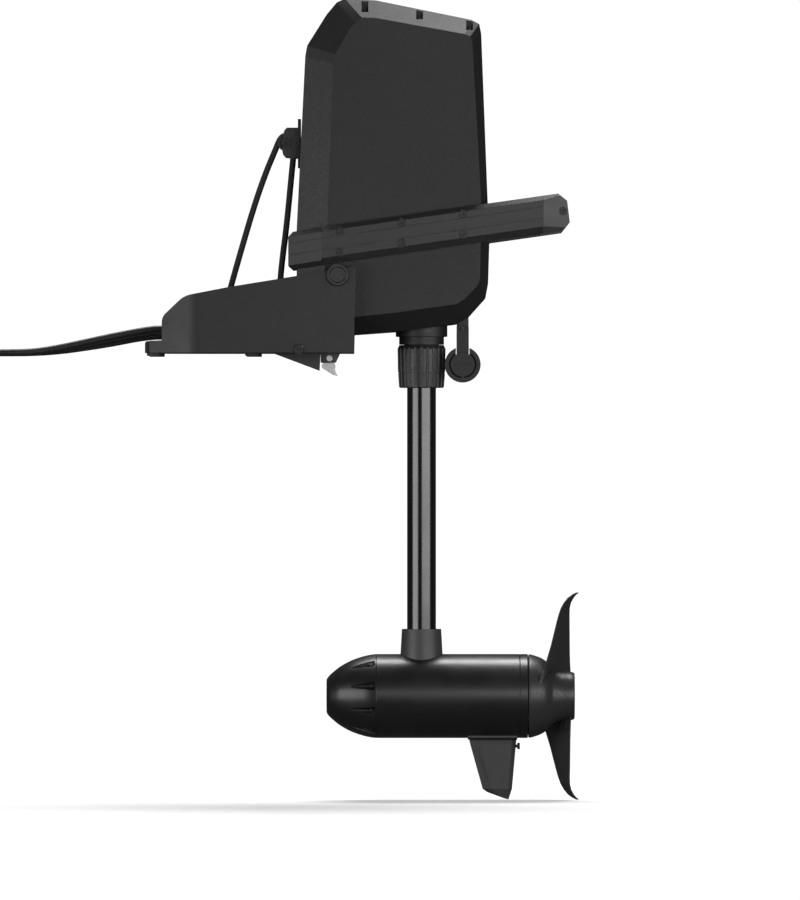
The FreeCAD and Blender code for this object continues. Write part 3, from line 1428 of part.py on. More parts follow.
def check_document():
    """Stop on any failed object or unsound shape before anything is written."""
    doc.recompute()
    for thing in doc.Objects:
        if "Invalid" in thing.State or "Error" in thing.State:
            raise RuntimeError("%s failed: %s" % (thing.Name, thing.State))
    for thing in EXPORTS:
        shape = thing.Shape
        if shape.isNull() or not shape.isValid() or not shape.Solids:
            raise RuntimeError("%s has no sound solid" % thing.Label)


def write_parts():
    os.makedirs("parts", exist_ok=True)
    for thing in EXPORTS:
        thing.Shape.exportStep(os.path.join("parts", thing.Label + ".step"))
    print("%d sub-parts written" % len(EXPORTS))


make_base()
make_head()
make_shaft()
make_cords()
check_document()
write_parts()
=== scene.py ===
import math

import bmesh
import bpy
from mathutils import Matrix, Vector


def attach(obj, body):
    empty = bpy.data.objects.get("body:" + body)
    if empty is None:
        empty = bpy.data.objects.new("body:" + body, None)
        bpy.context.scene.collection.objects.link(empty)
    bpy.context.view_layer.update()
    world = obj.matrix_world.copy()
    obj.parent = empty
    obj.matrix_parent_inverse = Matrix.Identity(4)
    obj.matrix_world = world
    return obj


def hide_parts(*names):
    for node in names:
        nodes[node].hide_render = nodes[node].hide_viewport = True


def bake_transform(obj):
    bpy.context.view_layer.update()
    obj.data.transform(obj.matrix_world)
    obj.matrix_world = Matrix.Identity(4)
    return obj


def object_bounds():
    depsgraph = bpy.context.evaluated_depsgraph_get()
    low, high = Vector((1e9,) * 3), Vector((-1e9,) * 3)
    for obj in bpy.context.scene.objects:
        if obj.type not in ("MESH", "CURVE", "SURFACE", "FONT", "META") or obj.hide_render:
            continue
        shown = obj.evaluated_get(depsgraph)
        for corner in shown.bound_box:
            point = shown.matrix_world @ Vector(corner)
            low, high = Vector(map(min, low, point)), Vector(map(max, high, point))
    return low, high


# The looks of a bow-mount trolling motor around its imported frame. Metres, +X over the bow, +Z up,
# -Y towards the camera. Every hard part keeps its own shape and gets a finish; the rope, the cables
# and what is on them are made here.

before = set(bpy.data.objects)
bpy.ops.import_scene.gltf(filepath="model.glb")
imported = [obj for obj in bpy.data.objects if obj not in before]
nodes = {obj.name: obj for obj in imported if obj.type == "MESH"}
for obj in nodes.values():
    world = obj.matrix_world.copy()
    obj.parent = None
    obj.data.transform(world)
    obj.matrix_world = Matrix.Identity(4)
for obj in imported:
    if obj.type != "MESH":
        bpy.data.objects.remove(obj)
cad_low, cad_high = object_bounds()
MM = 0.001

# ---------------------------------------------------------------- camera, floor and light

VIEW_MIDDLE = Vector((0.2538, 0.0, -0.1217))
VIEW_HEIGHT = 1.17         # metres that the picture's longer side covers at VIEW_MIDDLE
CAMERA_AWAY = 12.0
SENSOR = 36.0
CLIP_END = 60.0

# Azimuth and elevation in degrees, distance, width and height in metres, and power in watts.
# Azimuth 0 is the camera's side.
SOFTBOXES = {
    "right_softbox": (37.0, 4.0, 3.0, 4.0, 1.1, 56.0),
    "left_softbox": (-51.0, 0.0, 3.0, 2.4, 1.3, 40.0),
    "top_softbox": (180.0, 70.0, 2.8, 2.2, 1.2, 100.0),
}

SEEN_WHITE = ((1, 1, 1), 1.05)          # colour and strength of the background that the camera sees
FILL_LIGHT = ((0.96, 0.98, 1.0), 0.05)  # and of the light that it gives the object

FLOOR_GAP = 0.0006
FLOOR_AHEAD = 0.1          # how far the floor's middle is past the middle of the view, along +X
FLOOR_RADIUS = 1.3
FLOOR_FADE = (0.35, 0.98)  # shares of the radius where the floor starts to fade and is gone
FLOOR_PAPER = {
    "Base Color": (0.9, 0.9, 0.9, 1),
    "Roughness": 0.9,
    "Specular IOR Level": 0.1,
    "Emission Color": (1, 1, 1, 1),
    "Emission Strength": 0.34,
}


def make_camera():
    """A long lens square on to the near side, so that the picture is close to an elevation."""
    data = bpy.data.cameras.new("camera")
    data.sensor_width = SENSOR
    data.lens = SENSOR * CAMERA_AWAY / VIEW_HEIGHT
    data.clip_end = CLIP_END
    camera = bpy.data.objects.new("camera", data)
    camera.location = VIEW_MIDDLE + Vector((0, -CAMERA_AWAY, 0))
    camera.rotation_euler = (math.radians(90), 0, 0)
    bpy.context.collection.objects.link(camera)
    bpy.context.scene.camera = camera


def softbox(name, azimuth, elevation, distance, width, height, watts):
    """A rectangular lamp that faces the middle of the view."""
    data = bpy.data.lights.new(name, "AREA")
    data.shape = "RECTANGLE"
    data.size = width
    data.size_y = height
    data.energy = watts
    lamp = bpy.data.objects.new(name, data)
    turn = math.radians(azimuth)
    rise = math.radians(elevation)
    level = math.cos(rise)
    away = Vector((math.sin(turn) * level, -math.cos(turn) * level, math.sin(rise)))
    lamp.location = VIEW_MIDDLE + away * distance
    lamp.rotation_euler = away.to_track_quat("Z", "Y").to_euler()
    bpy.context.collection.objects.link(lamp)


def make_lights():
    for name, setting in SOFTBOXES.items():
        softbox(name, *setting)


def backdrop(tree, colour, strength):
    made = tree.nodes.new("ShaderNodeBackground")
    made.inputs["Color"].default_value = (*colour, 1)
    made.inputs["Strength"].default_value = strength
    return made.outputs["Background"]


def make_world():
    """White behind the object for the camera, and a weak fill light for everything else."""
    world = bpy.data.worlds.new("studio")
    bpy.context.scene.world = world
    world.use_nodes = True
    tree = world.node_tree
    tree.nodes.clear()
    path = tree.nodes.new("ShaderNodeLightPath")
    mix = tree.nodes.new("ShaderNodeMixShader")
    out = tree.nodes.new("ShaderNodeOutputWorld")
    tree.links.new(path.outputs["Is Camera Ray"], mix.inputs["Fac"])
    tree.links.new(backdrop(tree, *FILL_LIGHT), mix.inputs[1])
    tree.links.new(backdrop(tree, *SEEN_WHITE), mix.inputs[2])
    tree.links.new(mix.outputs["Shader"], out.inputs["Surface"])


def make_floor():
    """A pale round floor that fades out into the white, under the lowest point of the object."""
    mesh = bpy.data.meshes.new("floor")
    shape = bmesh.new()
    bmesh.ops.create_circle(shape, cap_ends=True, segments=96, radius=FLOOR_RADIUS)
    shape.to_mesh(mesh)
    shape.free()
    floor = bpy.data.objects.new("floor", mesh)
    floor.location = (VIEW_MIDDLE.x + FLOOR_AHEAD, 0, cad_low.z - FLOOR_GAP)
    bpy.context.collection.objects.link(floor)
    material = bpy.data.materials.new("floor_paper")
    material.use_nodes = True
    tree = material.node_tree
    paper = tree.nodes["Principled BSDF"]
    for name, value in FLOOR_PAPER.items():
        paper.inputs[name].default_value = value
    clear = tree.nodes.new("ShaderNodeBsdfTransparent")
    place = tree.nodes.new("ShaderNodeTexCoord")
    reach = tree.nodes.new("ShaderNodeVectorMath")
    reach.operation = "LENGTH"
    fade = tree.nodes.new("ShaderNodeMapRange")
    fade.interpolation_type = "SMOOTHSTEP"
    fade.inputs["From Min"].default_value = FLOOR_RADIUS * FLOOR_FADE[0]
    fade.inputs["From Max"].default_value = FLOOR_RADIUS * FLOOR_FADE[1]
    mix = tree.nodes.new("ShaderNodeMixShader")
    tree.links.new(place.outputs["Object"], reach.inputs[0])
    tree.links.new(reach.outputs["Value"], fade.inputs["Value"])
    tree.links.new(fade.outputs["Result"], mix.inputs["Fac"])
    tree.links.new(paper.outputs["BSDF"], mix.inputs[1])
    tree.links.new(clear.outputs["BSDF"], mix.inputs[2])
    tree.links.new(mix.outputs["Shader"], tree.nodes["Material Output"].inputs["Surface"])
    mesh.materials.append(material)
    floor.visible_diffuse = False
    floor.visible_glossy = False


# ---------------------------------------------------------------- finishes


BEVEL_SAMPLES = 4
EDGE_TURN = (0.995, 0.85)  # cosine of true normal to rounded normal: on a face, and on an edge
RIDGES_ROUND = 8.0         # braid ridges of one hand round the rope
RIDGE_PITCH = 4.2 * MM     # and from one to the next along it


class Finish:
    """One procedural material, built up from the parts that its surface needs."""

    def __init__(self, name, roughness, metallic=0.0, coat=0.0, coat_roughness=0.1, specular=0.5):
        self.material = bpy.data.materials.new(name)
        self.material.use_nodes = True
        self.tree = self.material.node_tree
        self.shader = self.tree.nodes["Principled BSDF"]
        self.shader.inputs["Roughness"].default_value = roughness
        self.shader.inputs["Metallic"].default_value = metallic
        self.shader.inputs["Coat Weight"].default_value = coat
        self.shader.inputs["Coat Roughness"].default_value = coat_roughness
        self.shader.inputs["Specular IOR Level"].default_value = specular
        self.place = self.node("ShaderNodeTexCoord").outputs["Object"]
        self.normal = None

    def node(self, kind, **values):
        made = self.tree.nodes.new(kind)
        for name, value in values.items():
            setattr(made, name, value)
        return made

    def link(self, start, end):
        self.tree.links.new(start, end)

    def noise(self, scale, detail=3.0, stretch=(1, 1, 1), rough=0.5):
        """A noise value over the object; stretch below 1 draws it out along that axis."""
        spread = self.node("ShaderNodeMapping")
        spread.inputs["Scale"].default_value = stretch
        self.link(self.place, spread.inputs["Vector"])
        made = self.node("ShaderNodeTexNoise")
        made.inputs["Scale"].default_value = scale
        made.inputs["Detail"].default_value = detail
        made.inputs["Roughness"].default_value = rough
        self.link(spread.outputs["Vector"], made.inputs["Vector"])
        return made.outputs["Fac"]

    def ranged(self, value, low, high, to_low, to_high):
        made = self.node("ShaderNodeMapRange")
        made.inputs["From Min"].default_value = low
        made.inputs["From Max"].default_value = high
        made.inputs["To Min"].default_value = to_low
        made.inputs["To Max"].default_value = to_high
        self.link(value, made.inputs["Value"])
        return made.outputs["Result"]

    def maths(self, kind, *values):
        """One maths step; each value is a number or another node's output."""
        made = self.node("ShaderNodeMath", operation=kind)
        for place, value in zip(made.inputs, values):
            if isinstance(value, float):
                place.default_value = value
            else:
                self.link(value, place)
        return made.outputs["Value"]

    def product(self, one, two):
        return self.maths("MULTIPLY", one, two)

    def blended(self, amount, one, two):
        """A colour between one and two; each is a colour or another node's output."""
        made = self.node("ShaderNodeMix", data_type="RGBA")
        self.link(amount, made.inputs["Factor"])
        for socket, colour in (("A", one), ("B", two)):
            target = [s for s in made.inputs if s.name == socket and s.type == "RGBA"][0]
            if isinstance(colour, tuple):
                target.default_value = (*colour, 1)
            else:
                self.link(colour, target)
        return [s for s in made.outputs if s.type == "RGBA"][0]

    def rounded(self, radius):
        """Soft highlights along the edges, as on a part whose edges are broken."""
        made = self.node("ShaderNodeBevel", samples=BEVEL_SAMPLES)
        made.inputs["Radius"].default_value = radius
        self.normal = made.outputs["Normal"]
        return self

    def edge(self, radius):
        """1 along the outer edges and 0 on the faces."""
        soft = self.node("ShaderNodeBevel", samples=BEVEL_SAMPLES)
        soft.inputs["Radius"].default_value = radius
        flat = self.node("ShaderNodeNewGeometry")
        match = self.node("ShaderNodeVectorMath", operation="DOT_PRODUCT")
        self.link(soft.outputs["Normal"], match.inputs[0])
        self.link(flat.outputs["Normal"], match.inputs[1])
        return self.ranged(match.outputs["Value"], *EDGE_TURN, 0.0, 1.0)

    def bump(self, height, depth):
        made = self.node("ShaderNodeBump")
        made.inputs["Distance"].default_value = depth
        made.inputs["Strength"].default_value = 1.0
        self.link(height, made.inputs["Height"])
        if self.normal:
            self.link(self.normal, made.inputs["Normal"])
        self.normal = made.outputs["Normal"]
        return self

    def coloured(self, colour):
        self.link(colour, self.shader.inputs["Base Color"])
        return self

    def roughened(self, value):
        self.link(value, self.shader.inputs["Roughness"])
        return self

    def done(self):
        if self.normal:
            self.link(self.normal, self.shader.inputs["Normal"])
        return self.material


def moulded(name, dark, light, rough, grain, depth, worn):
    """Moulded plastic or rubber: an even grain, cloudy tone, and edges that are rubbed paler."""
    radius = 0.7 * MM
    made = Finish(name, rough).rounded(radius)
    cloud = made.noise(9.0, 4.0)
    speck = made.noise(420.0, 2.0)
    body = made.blended(made.ranged(cloud, 0.3, 0.7, 0.0, 1.0), dark, light)
    patches = made.ranged(made.noise(60.0, 4.0), 0.35, 0.75, 0.0, 0.8)
    rub = made.product(made.edge(radius * 1.3), patches)
    made.coloured(made.blended(rub, body, worn))
    made.roughened(made.ranged(speck, 0.3, 0.7, rough - 0.07, rough + 0.07))
    return made.bump(made.noise(grain, 3.0, rough=0.6), depth).done()


def painted(name, dark, light, rough, peel, depth, worn, coat=0.0, metallic=0.0):
    """Paint or powder coat on metal: orange peel, faint dust in the tone, and worn corners."""
    radius = 0.8 * MM
    made = Finish(name, rough, metallic=metallic, coat=coat, coat_roughness=0.2).rounded(radius)
    cloud = made.noise(5.0, 5.0)
    body = made.blended(made.ranged(cloud, 0.3, 0.7, 0.0, 1.0), dark, light)
    patches = made.ranged(made.noise(45.0, 5.0), 0.4, 0.7, 0.0, 0.9)
    rub = made.product(made.edge(radius * 1.2), patches)
    made.coloured(made.blended(rub, body, worn))
    made.roughened(made.ranged(made.noise(25.0, 6.0), 0.3, 0.7, rough - 0.06, rough + 0.06))
    return made.bump(made.noise(peel, 2.0), depth).done()


def brushed(name, dark, light, rough, stretch, worn, metallic):
    """Drawn or brushed metal: fine lines along one axis in the tone, the gloss and the surface."""
    made = Finish(name, rough, metallic=metallic).rounded(0.8 * MM)
    lines = made.noise(900.0, 2.0, stretch)
    body = made.blended(made.ranged(lines, 0.3, 0.7, 0.0, 1.0), dark, light)
    patches = made.ranged(made.noise(50.0, 4.0), 0.35, 0.7, 0.1, 0.9)
    rub = made.product(made.edge(1.0 * MM), patches)
    made.coloured(made.blended(rub, body, worn))
    made.roughened(made.ranged(lines, 0.3, 0.7, rough - 0.08, rough + 0.08))
    return made.bump(lines, 0.03 * MM).done()


def grey(value):
    """A nearly neutral grey, very slightly blue."""
    return (value, value * 1.005, value * 1.03)


def braided(name):
    """A plaited polyester cover, from the tube's own length (metres) and turn (0 to 1)."""
    made = Finish(name, 0.62, specular=0.4)
    uv = made.node("ShaderNodeUVMap", uv_map="braid")
    parts = made.node("ShaderNodeSeparateXYZ")
    made.link(uv.outputs["UV"], parts.inputs["Vector"])
    across = made.maths("MULTIPLY", parts.outputs["Y"], RIDGES_ROUND)
    ridges = []
    for hand in (1.0, -1.0):
        along = made.maths("MULTIPLY", parts.outputs["X"], hand / RIDGE_PITCH)
        turn = made.maths("MULTIPLY", made.maths("ADD", along, across), math.pi)
        ridges.append(made.maths("ABSOLUTE", made.maths("SINE", turn)))
    height = made.product(*ridges)
    # The tone follows the ridge height: painted shade down in the grooves between the strands and a
    # painted highlight along their crests, on top of the bump below.
    made.coloured(made.blended(made.ranged(height, 0.0, 0.9, 0.0, 1.0), grey(0.008), grey(0.045)))
    made.bump(height, 0.7 * MM)
    fuzz = made.noise(2600.0, 2.0)
    return made.bump(fuzz, 0.12 * MM).done()


# Each is a name, a darker and a paler tone, the roughness, the scale and depth of the grain, and the
# tone of worn edges. brushed takes a stretch in place of the grain, and how metallic it is.
FINISHES = {
    "coated_plate": painted(
        "powder_coat", grey(0.009), grey(0.013), 0.45, 700.0, 0.05 * MM, grey(0.04)),
    "head_moulding": moulded(
        "textured_moulding", grey(0.009), grey(0.013), 0.52, 1300.0, 0.07 * MM, grey(0.04)),
    "black_extrusion": brushed(
        "brushed_extrusion", grey(0.018), grey(0.03), 0.42, (0.02, 1, 1), grey(0.12), 0.0),
    "cast_black": painted(
        "painted_casting", grey(0.04), grey(0.055), 0.46, 380.0, 0.09 * MM, grey(0.1)),
    "black_moulding": moulded(
        "satin_moulding", grey(0.012), grey(0.02), 0.42, 900.0, 0.05 * MM, grey(0.06)),
    "black_screw": brushed(
        "black_oxide", grey(0.012), grey(0.022), 0.35, (1, 1, 1), grey(0.16), 0.3),
    "bright_steel": painted(
        "bright_steel", grey(0.5), grey(0.6), 0.3, 160.0, 0.008 * MM, grey(0.7), metallic=1.0),
    "rubber": moulded(
        "matt_rubber", grey(0.012), grey(0.018), 0.62, 700.0, 0.08 * MM, grey(0.035)),
    "cable_jacket": moulded(
        "cable_jacket", grey(0.011), grey(0.017), 0.44, 500.0, 0.05 * MM, grey(0.03)),
    "braid": braided("braided_cover"),
    "shaft_coat": painted(
        "gloss_tube", grey(0.003), grey(0.005), 0.16, 60.0, 0.01 * MM, grey(0.01), coat=0.6),
    "motor_coat": painted(
        "satin_paint", grey(0.008), grey(0.012), 0.36, 500.0, 0.03 * MM, grey(0.02), coat=0.25),
    "prop_moulding": moulded(
        "filled_nylon", grey(0.026), grey(0.036), 0.38, 800.0, 0.05 * MM, grey(0.03)),
    "board": moulded(
        "circuit_board", (0.02, 0.09, 0.04), (0.03, 0.13, 0.055), 0.4, 300.0, 0.1 * MM,
        (0.2, 0.2, 0.1)),
    "winding": brushed(
        "laminations", (0.12, 0.05, 0.03), (0.3, 0.14, 0.07), 0.45, (1, 0.2, 0.2),
        (0.4, 0.2, 0.1), 0.8),
}


def finish_nodes():
    """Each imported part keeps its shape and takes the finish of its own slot."""
    for part in nodes.values():
        for place in part.material_slots:
            place.material = FINISHES[place.material.name.split(".")[0]]


# ---------------------------------------------------------------- mesh helpers


def new_piece(name, mesh, slot, body=None):
    """A smooth piece with its slot's finish; with no body it is left unattached."""
    piece = bpy.data.objects.new(name, mesh)
    bpy.context.collection.objects.link(piece)
    mesh.materials.clear()
    mesh.materials.append(FINISHES[slot])
    for face in mesh.polygons:
        face.use_smooth = True
    if body:
        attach(piece, body)
    return piece


def spline_line(points):
    """The points of the smooth line that the control points make, read from its NURBS spline."""
    data = bpy.data.curves.new("route", "CURVE")
    data.dimensions = "3D"
    data.resolution_u = 12
    spline = data.splines.new("NURBS")
    spline.points.add(len(points) - 1)
    for place, point in zip(spline.points, points):
        place.co = (*point, 1)
    spline.order_u = 3
    spline.use_endpoint_u = True
    holder = bpy.data.objects.new("route", data)
    mesh = bpy.data.meshes.new_from_object(holder)
    line = [vertex.co.copy() for vertex in mesh.vertices]
    bpy.data.meshes.remove(mesh)
    bpy.data.objects.remove(holder)
    bpy.data.curves.remove(data)
    return line


def swept(name, line, radius, sides=20):
    """A round tube along a line, with its length in metres and its turn as a UV map.

    Each ring's up direction carries on from the one before, so the tube doesn't twist."""
    shape = bmesh.new()
    uv = shape.loops.layers.uv.new("braid")
    rings = []
    lengths = [0.0]
    up = Vector((0.13, 0.21, 1.0)).normalized()
    for index, point in enumerate(line):
        before = line[max(index - 1, 0)]
        after = line[min(index + 1, len(line) - 1)]
        along = (after - before).normalized()
        up = (up - along * up.dot(along)).normalized()
        side = along.cross(up)
        if index:
            lengths.append(lengths[-1] + (point - line[index - 1]).length)
        ring = []
        for step in range(sides):
            turn = 2 * math.pi * step / sides
            out = up * math.cos(turn) + side * math.sin(turn)
            ring.append(shape.verts.new(point + out * radius))
        rings.append(ring)
    for index in range(len(rings) - 1):
        for step in range(sides):
            following = (step + 1) % sides
            face = shape.faces.new((rings[index][step], rings[index][following],
                                    rings[index + 1][following], rings[index + 1][step]))
            corners = ((index, step), (index, step + 1), (index + 1, step + 1), (index + 1, step))
            for loop, (at, turn) in zip(face.loops, corners):
                loop[uv].uv = (lengths[at], turn / sides)
    shape.faces.new(rings[0])
    shape.faces.new(rings[-1][::-1])
    bmesh.ops.recalc_face_normals(shape, faces=shape.faces)
    mesh = bpy.data.meshes.new(name)
    shape.to_mesh(mesh)
    shape.free()
    return mesh


def spun(name, profile, sides=48):
    """A round body from (distance along +X, radius) pairs; a radius of 0 closes an end."""
    shape = bmesh.new()
    rings = []
    for along, radius in profile:
        if radius == 0:
            rings.append([shape.verts.new((along, 0, 0))])
            continue
        turns = [2 * math.pi * step / sides for step in range(sides)]
        rings.append([shape.verts.new((along, radius * math.cos(turn), radius * math.sin(turn)))
                      for turn in turns])
    for one, two in zip(rings, rings[1:]):
        for step in range(sides):
            following = (step + 1) % sides
            if len(one) == 1:
                shape.faces.new((one[0], two[step], two[following]))
            elif len(two) == 1:
                shape.faces.new((one[step], two[0], one[following]))
            else:
                shape.faces.new((one[step], two[step], two[following], one[following]))
    bmesh.ops.recalc_face_normals(shape, faces=shape.faces)
    mesh = bpy.data.meshes.new(name)
    shape.to_mesh(mesh)
    shape.free()
    return mesh


# ---------------------------------------------------------------- rope and cables

ROPE_WIDTH = 8.0 * MM
POWER_WIDTH = 9.0 * MM
SONAR_WIDTH = 7.0 * MM
ROPE_COIL = (-324.0, 72.0)  # the coils' middles, in millimetres
POWER_COIL = (-330.0, -84.0)
TURN_POINTS = 18            # control points in a turn of a coil
INNER_TURN = (0.72, 1.0)    # turns over which a coil steps in to its second turn
TOP_LAP = (1.7, 1.95)       # turns over which it climbs on top of the first two


def metres(points):
    """Points in metres, from points in millimetres."""
    return [Vector(point) * MM for point in points]


ROPE_LEGS = metres([
    (97.0, 0.0, 16.1), (97.0, 0.0, 60.0), (97.9, 0.0, 98.0), (101.3, 0.0, 130.0),
    (105.7, 0.0, 164.0), (109.6, 0.0, 202.0), (113.4, 0.0, 242.0), (115.9, 0.0, 266.0),
    (115.9, 0.0, 282.2), (108.1, 0.0, 288.2), (98.7, 0.2, 285.4), (90.8, 1.0, 266.0),
    (79.5, 4.0, 239.5), (65.0, 10.0, 198.5), (51.0, 16.0, 152.0), (38.0, 21.5, 107.0),
    (26.5, 26.0, 66.0), (15.4, 28.0, 21.8), (-4.0, 28.0, 21.8),
])
PULL_ROPE = metres([
    (-4.05, 28.0, 21.8), (-28.0, 27.0, 24.0), (-56.0, 25.0, 26.6), (-84.0, 23.0, 24.0),
    (-116.0, 22.0, 17.6), (-150.0, 22.0, 12.0), (-186.0, 23.0, 7.0), (-222.0, 24.0, 4.3),
    (-262.0, 24.0, 4.1), (-324.0, 24.0, 4.1),
])
ROPE_TAIL = metres([
    (-368.0, 72.0, 12.1), (-368.0, 86.0, 12.1), (-365.5, 100.0, 12.1), (-359.5, 112.5, 11.4),
    (-354.5, 124.5, 10.2), (-352.0, 137.5, 9.5),
])
POWER_CABLE = metres([
    (24.0, -34.0, 18.0), (0.0, -33.5, 20.0), (-26.0, -32.0, 29.0), (-54.0, -31.0, 36.6),
    (-84.0, -30.0, 32.4), (-116.0, -30.0, 26.2), (-150.0, -30.0, 18.8), (-186.0, -30.0, 11.0),
    (-220.0, -30.0, 5.4), (-256.0, -30.0, 4.5), (-330.0, -30.0, 4.5),
])
POWER_TAIL = metres([
    (-379.5, -84.0, 13.3), (-379.5, -98.0, 13.3), (-378.0, -114.0, 13.3), (-374.0, -130.0, 11.0),
    (-368.0, -146.0, 7.6),
])
SONAR_CABLE = metres([
    (24.0, -18.0, 18.0), (0.0, -16.5, 18.0), (-26.0, -14.0, 24.0), (-54.0, -11.0, 31.0),
    (-84.0, -8.0, 27.4), (-116.0, -5.0, 21.4), (-150.0, -3.0, 14.6), (-186.0, -2.0, 8.0),
    (-220.0, -1.5, 3.8), (-248.0, -1.5, 3.6), (-276.0, -1.5, 3.6),
])
POWER_LOOP = metres([
    (36.0, -34.0, 18.0), (54.0, -34.0, 18.2), (72.0, -34.0, 29.0), (78.0, -34.0, 52.0),
    (90.0, -34.0, 69.5), (108.0, -34.0, 70.0),
])
SONAR_LOOP = metres([
    (36.0, -18.0, 18.0), (56.0, -18.0, 18.2), (75.0, -18.0, 29.0), (80.0, -18.0, 52.0),
    (91.0, -18.0, 69.5), (108.0, -18.0, 70.0),
])


def smooth(low, high, value):
    """0 below low, 1 above high, and an even rise between them."""
    share = min(max((value - low) / (high - low), 0.0), 1.0)
    return share * share * (3 - 2 * share)


def coil(middle, start, turns, radius, step_in, step_out, level, rise):
    """Control points of a flat coil: an outer turn, a tighter one, and a short lap on top of them.

    Lengths are in millimetres. start is an angle in degrees, and negative turns go clockwise."""
    points = []
    count = round(abs(turns) * TURN_POINTS)
    for step in range(count + 1):
        done = abs(turns) * step / count
        turn = math.radians(start) + 2 * math.pi * turns * step / count
        lap = smooth(*TOP_LAP, done)
        away = (radius - step_in * smooth(*INNER_TURN, done) + step_out * lap) * MM
        points.append(Vector((middle[0] * MM + away * math.cos(turn),
                              middle[1] * MM + away * math.sin(turn),
                              (level + rise * lap) * MM)))
    return points


def make_cord(name, points, width, slot, body=None):
    line = spline_line(points)
    return new_piece(name, swept(name, line, width / 2), slot, body), line


def coil_tie(name, middle, radius, bundle, width):
    """A hook-and-loop strap wrapped once round the turns, at one place on a coil.

    middle is in millimetres and the rest in metres. The strap is on the coil's +Y side, or on its
    -Y side with a negative radius. bundle is how far the turns reach across and up there."""
    across, high = bundle
    mesh = bpy.data.meshes.new(name)
    shape = bmesh.new()
    thick = 1.1 * MM
    loops = []
    corners = 24
    for step in range(corners):
        turn = 2 * math.pi * step / corners
        square = 1 / (math.cos(turn) ** 4 + math.sin(turn) ** 4) ** 0.25
        ring = []
        for out, side in ((0, -1), (thick, -1), (thick, 1), (0, 1)):
            ring.append(shape.verts.new((
                side * width / 2,
                radius + (across / 2 + out) * math.cos(turn) * square,
                high / 2 + (high / 2 + out) * math.sin(turn) * square)))
        loops.append(ring)
    for one, two in zip(loops, loops[1:] + loops[:1]):
        for corner in range(4):
            following = (corner + 1) % 4
            shape.faces.new((one[corner], one[following], two[following], two[corner]))
    bmesh.ops.recalc_face_normals(shape, faces=shape.faces)
    bmesh.ops.translate(shape, verts=shape.verts, vec=(middle[0] * MM, middle[1] * MM, 0.0))
    shape.to_mesh(mesh)
    shape.free()
    return new_piece(name, mesh, "rubber", "base")


def ribbed_boot(name, line, width, length):
    """A tapered strain relief with ribs, on the first stretch of a cord's line."""
    ribs = 6
    collar = 0.12 * length
    collar_radius = 0.98 * width
    pitch = 0.86 * length / ribs
    profile = [(0.0, 0.0), (0.0, collar_radius), (collar, collar_radius)]
    for rib in range(ribs):
        start = collar + pitch * rib
        size = width * (0.94 - 0.34 * rib / ribs)
        for share, swell in ((0.05, 0.84), (0.4, 0.82), (0.48, 1.0), (0.92, 0.97)):
            profile.append((start + pitch * share, size * swell))
    profile += [(length, width * 0.56), (length, 0.0)]
    mesh = spun(name, profile, 32)
    travelled = [0.0]
    for one, two in zip(line, line[1:]):
        travelled.append(travelled[-1] + (two - one).length)
    up = Vector((0, 0, 1))
    for vertex in mesh.vertices:
        at = min(max(vertex.co.x, 0.0), length)
        index = max(i for i, value in enumerate(travelled[:-1]) if value <= at)
        step = line[index + 1] - line[index]
        along = step.normalized()
        side = along.cross(up).normalized()
        over = side.cross(along)
        point = line[index] + along * (at - travelled[index])
        vertex.co = point + side * vertex.co.y + over * vertex.co.z
    return new_piece(name, mesh, "rubber", "base")


def make_rope():
    """The lifting rope's two legs and its free run to the handle."""
    legs, _ = make_cord("rope_to_head", ROPE_LEGS, ROPE_WIDTH, "braid")
    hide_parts("rope_legs")
    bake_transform(legs)
    turns = coil(ROPE_COIL, start=-90.0, turns=-2.25, radius=48.0, step_in=8.0, step_out=4.0,
                 level=4.1, rise=8.0)
    points = PULL_ROPE + turns + ROPE_TAIL
    pull, line = make_cord("pull_rope_run", points, ROPE_WIDTH, "braid", "base")
    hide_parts("pull_rope", "rope_coil")
    grip = make_handle()
    tie = coil_tie("rope_tie", ROPE_COIL, 44 * MM, (18 * MM, 8.6 * MM), 14 * MM)


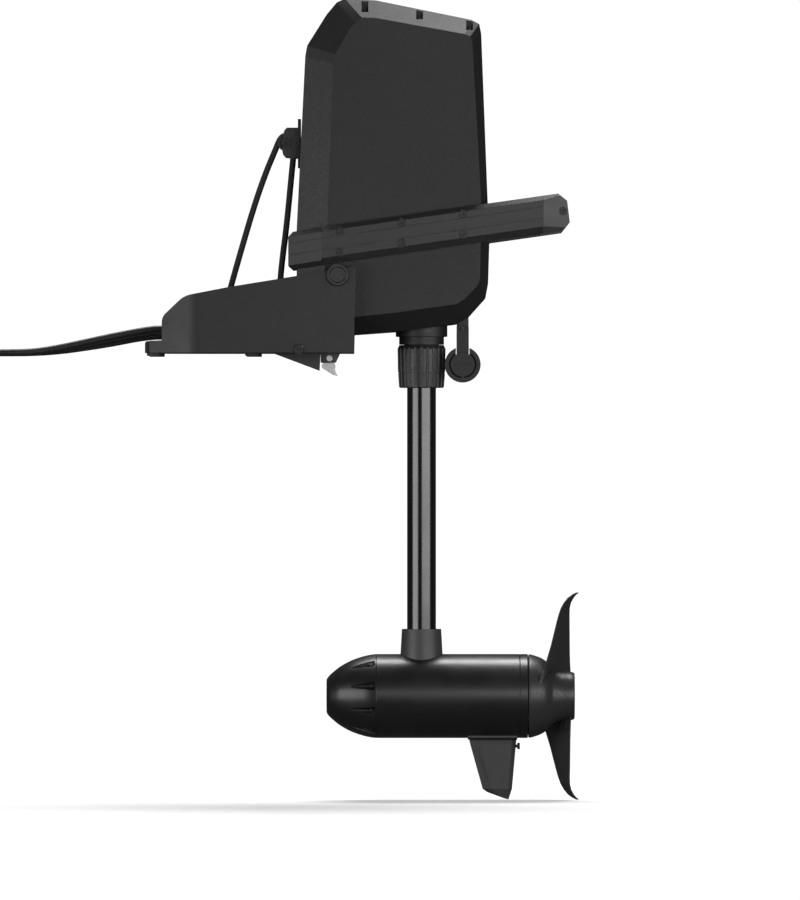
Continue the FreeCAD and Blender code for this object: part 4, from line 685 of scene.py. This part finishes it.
def make_handle():
    """The tee handle: a grip with finger grooves, and the stem that the rope's knot sits in."""
    half = 42.0
    groove_pitch = 18.5
    groove_depth = 1.3
    end = [(half, 0.0), (half, 6.2), (half - 1.2, 8.2), (half - 4, 9.3)]
    profile = [(-along, radius) for along, radius in end]
    for groove in range(4):
        start = 5 - half + groove * groove_pitch
        for share in (0.0, 0.15, 0.35, 0.5, 0.65, 0.85):
            dip = groove_depth * math.sin(math.pi * share) ** 2
            profile.append((start + share * groove_pitch, 9.4 - dip))
    profile += end[::-1]
    stem = [(4, 0.0), (4, 7.0), (8, 6.9), (12, 6.3), (17, 5.6), (20, 5.4), (21.4, 5.0), (22, 4.2),
            (22, 0.0)]
    quarter = Matrix.Rotation(math.radians(90), 4, "Z")
    place = Matrix.Translation(Vector((-352.0, 159.5, 9.55)) * MM) @ quarter.inverted()
    made = []
    for name, outline, turn in (("pull_handle", profile, place @ quarter),
                                ("pull_handle_stem", stem, place)):
        mesh = spun(name, [(along * MM, radius * MM) for along, radius in outline])
        mesh.transform(turn)
        made.append(new_piece(name, mesh, "black_moulding", "base"))
    grip, stem = made
    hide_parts("rope_handle")
    stem.parent = grip
    return grip


def make_cables():
    """The power lead with its coil, the transducer lead, and the two loops from clamp to head."""
    turns = coil(POWER_COIL, start=90.0, turns=2.25, radius=54.0, step_in=9.0, step_out=4.5,
                 level=4.5, rise=8.8)
    points = POWER_CABLE + turns + POWER_TAIL
    power, line = make_cord("power_lead", points, POWER_WIDTH, "cable_jacket", "base")
    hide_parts("power_cable", "power_coil")
    boot = ribbed_boot("power_strain_relief", line, POWER_WIDTH, 26 * MM)
    tie = coil_tie("power_tie", POWER_COIL, -49.5 * MM, (19 * MM, 9.6 * MM), 16 * MM)
    sonar, line = make_cord("sonar_lead", SONAR_CABLE, SONAR_WIDTH, "cable_jacket", "base")
    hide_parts("sonar_cable")
    boot = ribbed_boot("sonar_strain_relief", line, SONAR_WIDTH, 22 * MM)
    for name, route, width in (("power_head_loop", POWER_LOOP, POWER_WIDTH),
                               ("sonar_head_loop", SONAR_LOOP, SONAR_WIDTH)):
        loop, _ = make_cord(name, route, width, "cable_jacket")
        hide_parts("head_cables")
        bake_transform(loop)


make_camera()
make_lights()
make_world()
make_floor()
finish_nodes()
make_rope()
make_cables()

bpy.context.scene.view_settings.view_transform = "Standard"
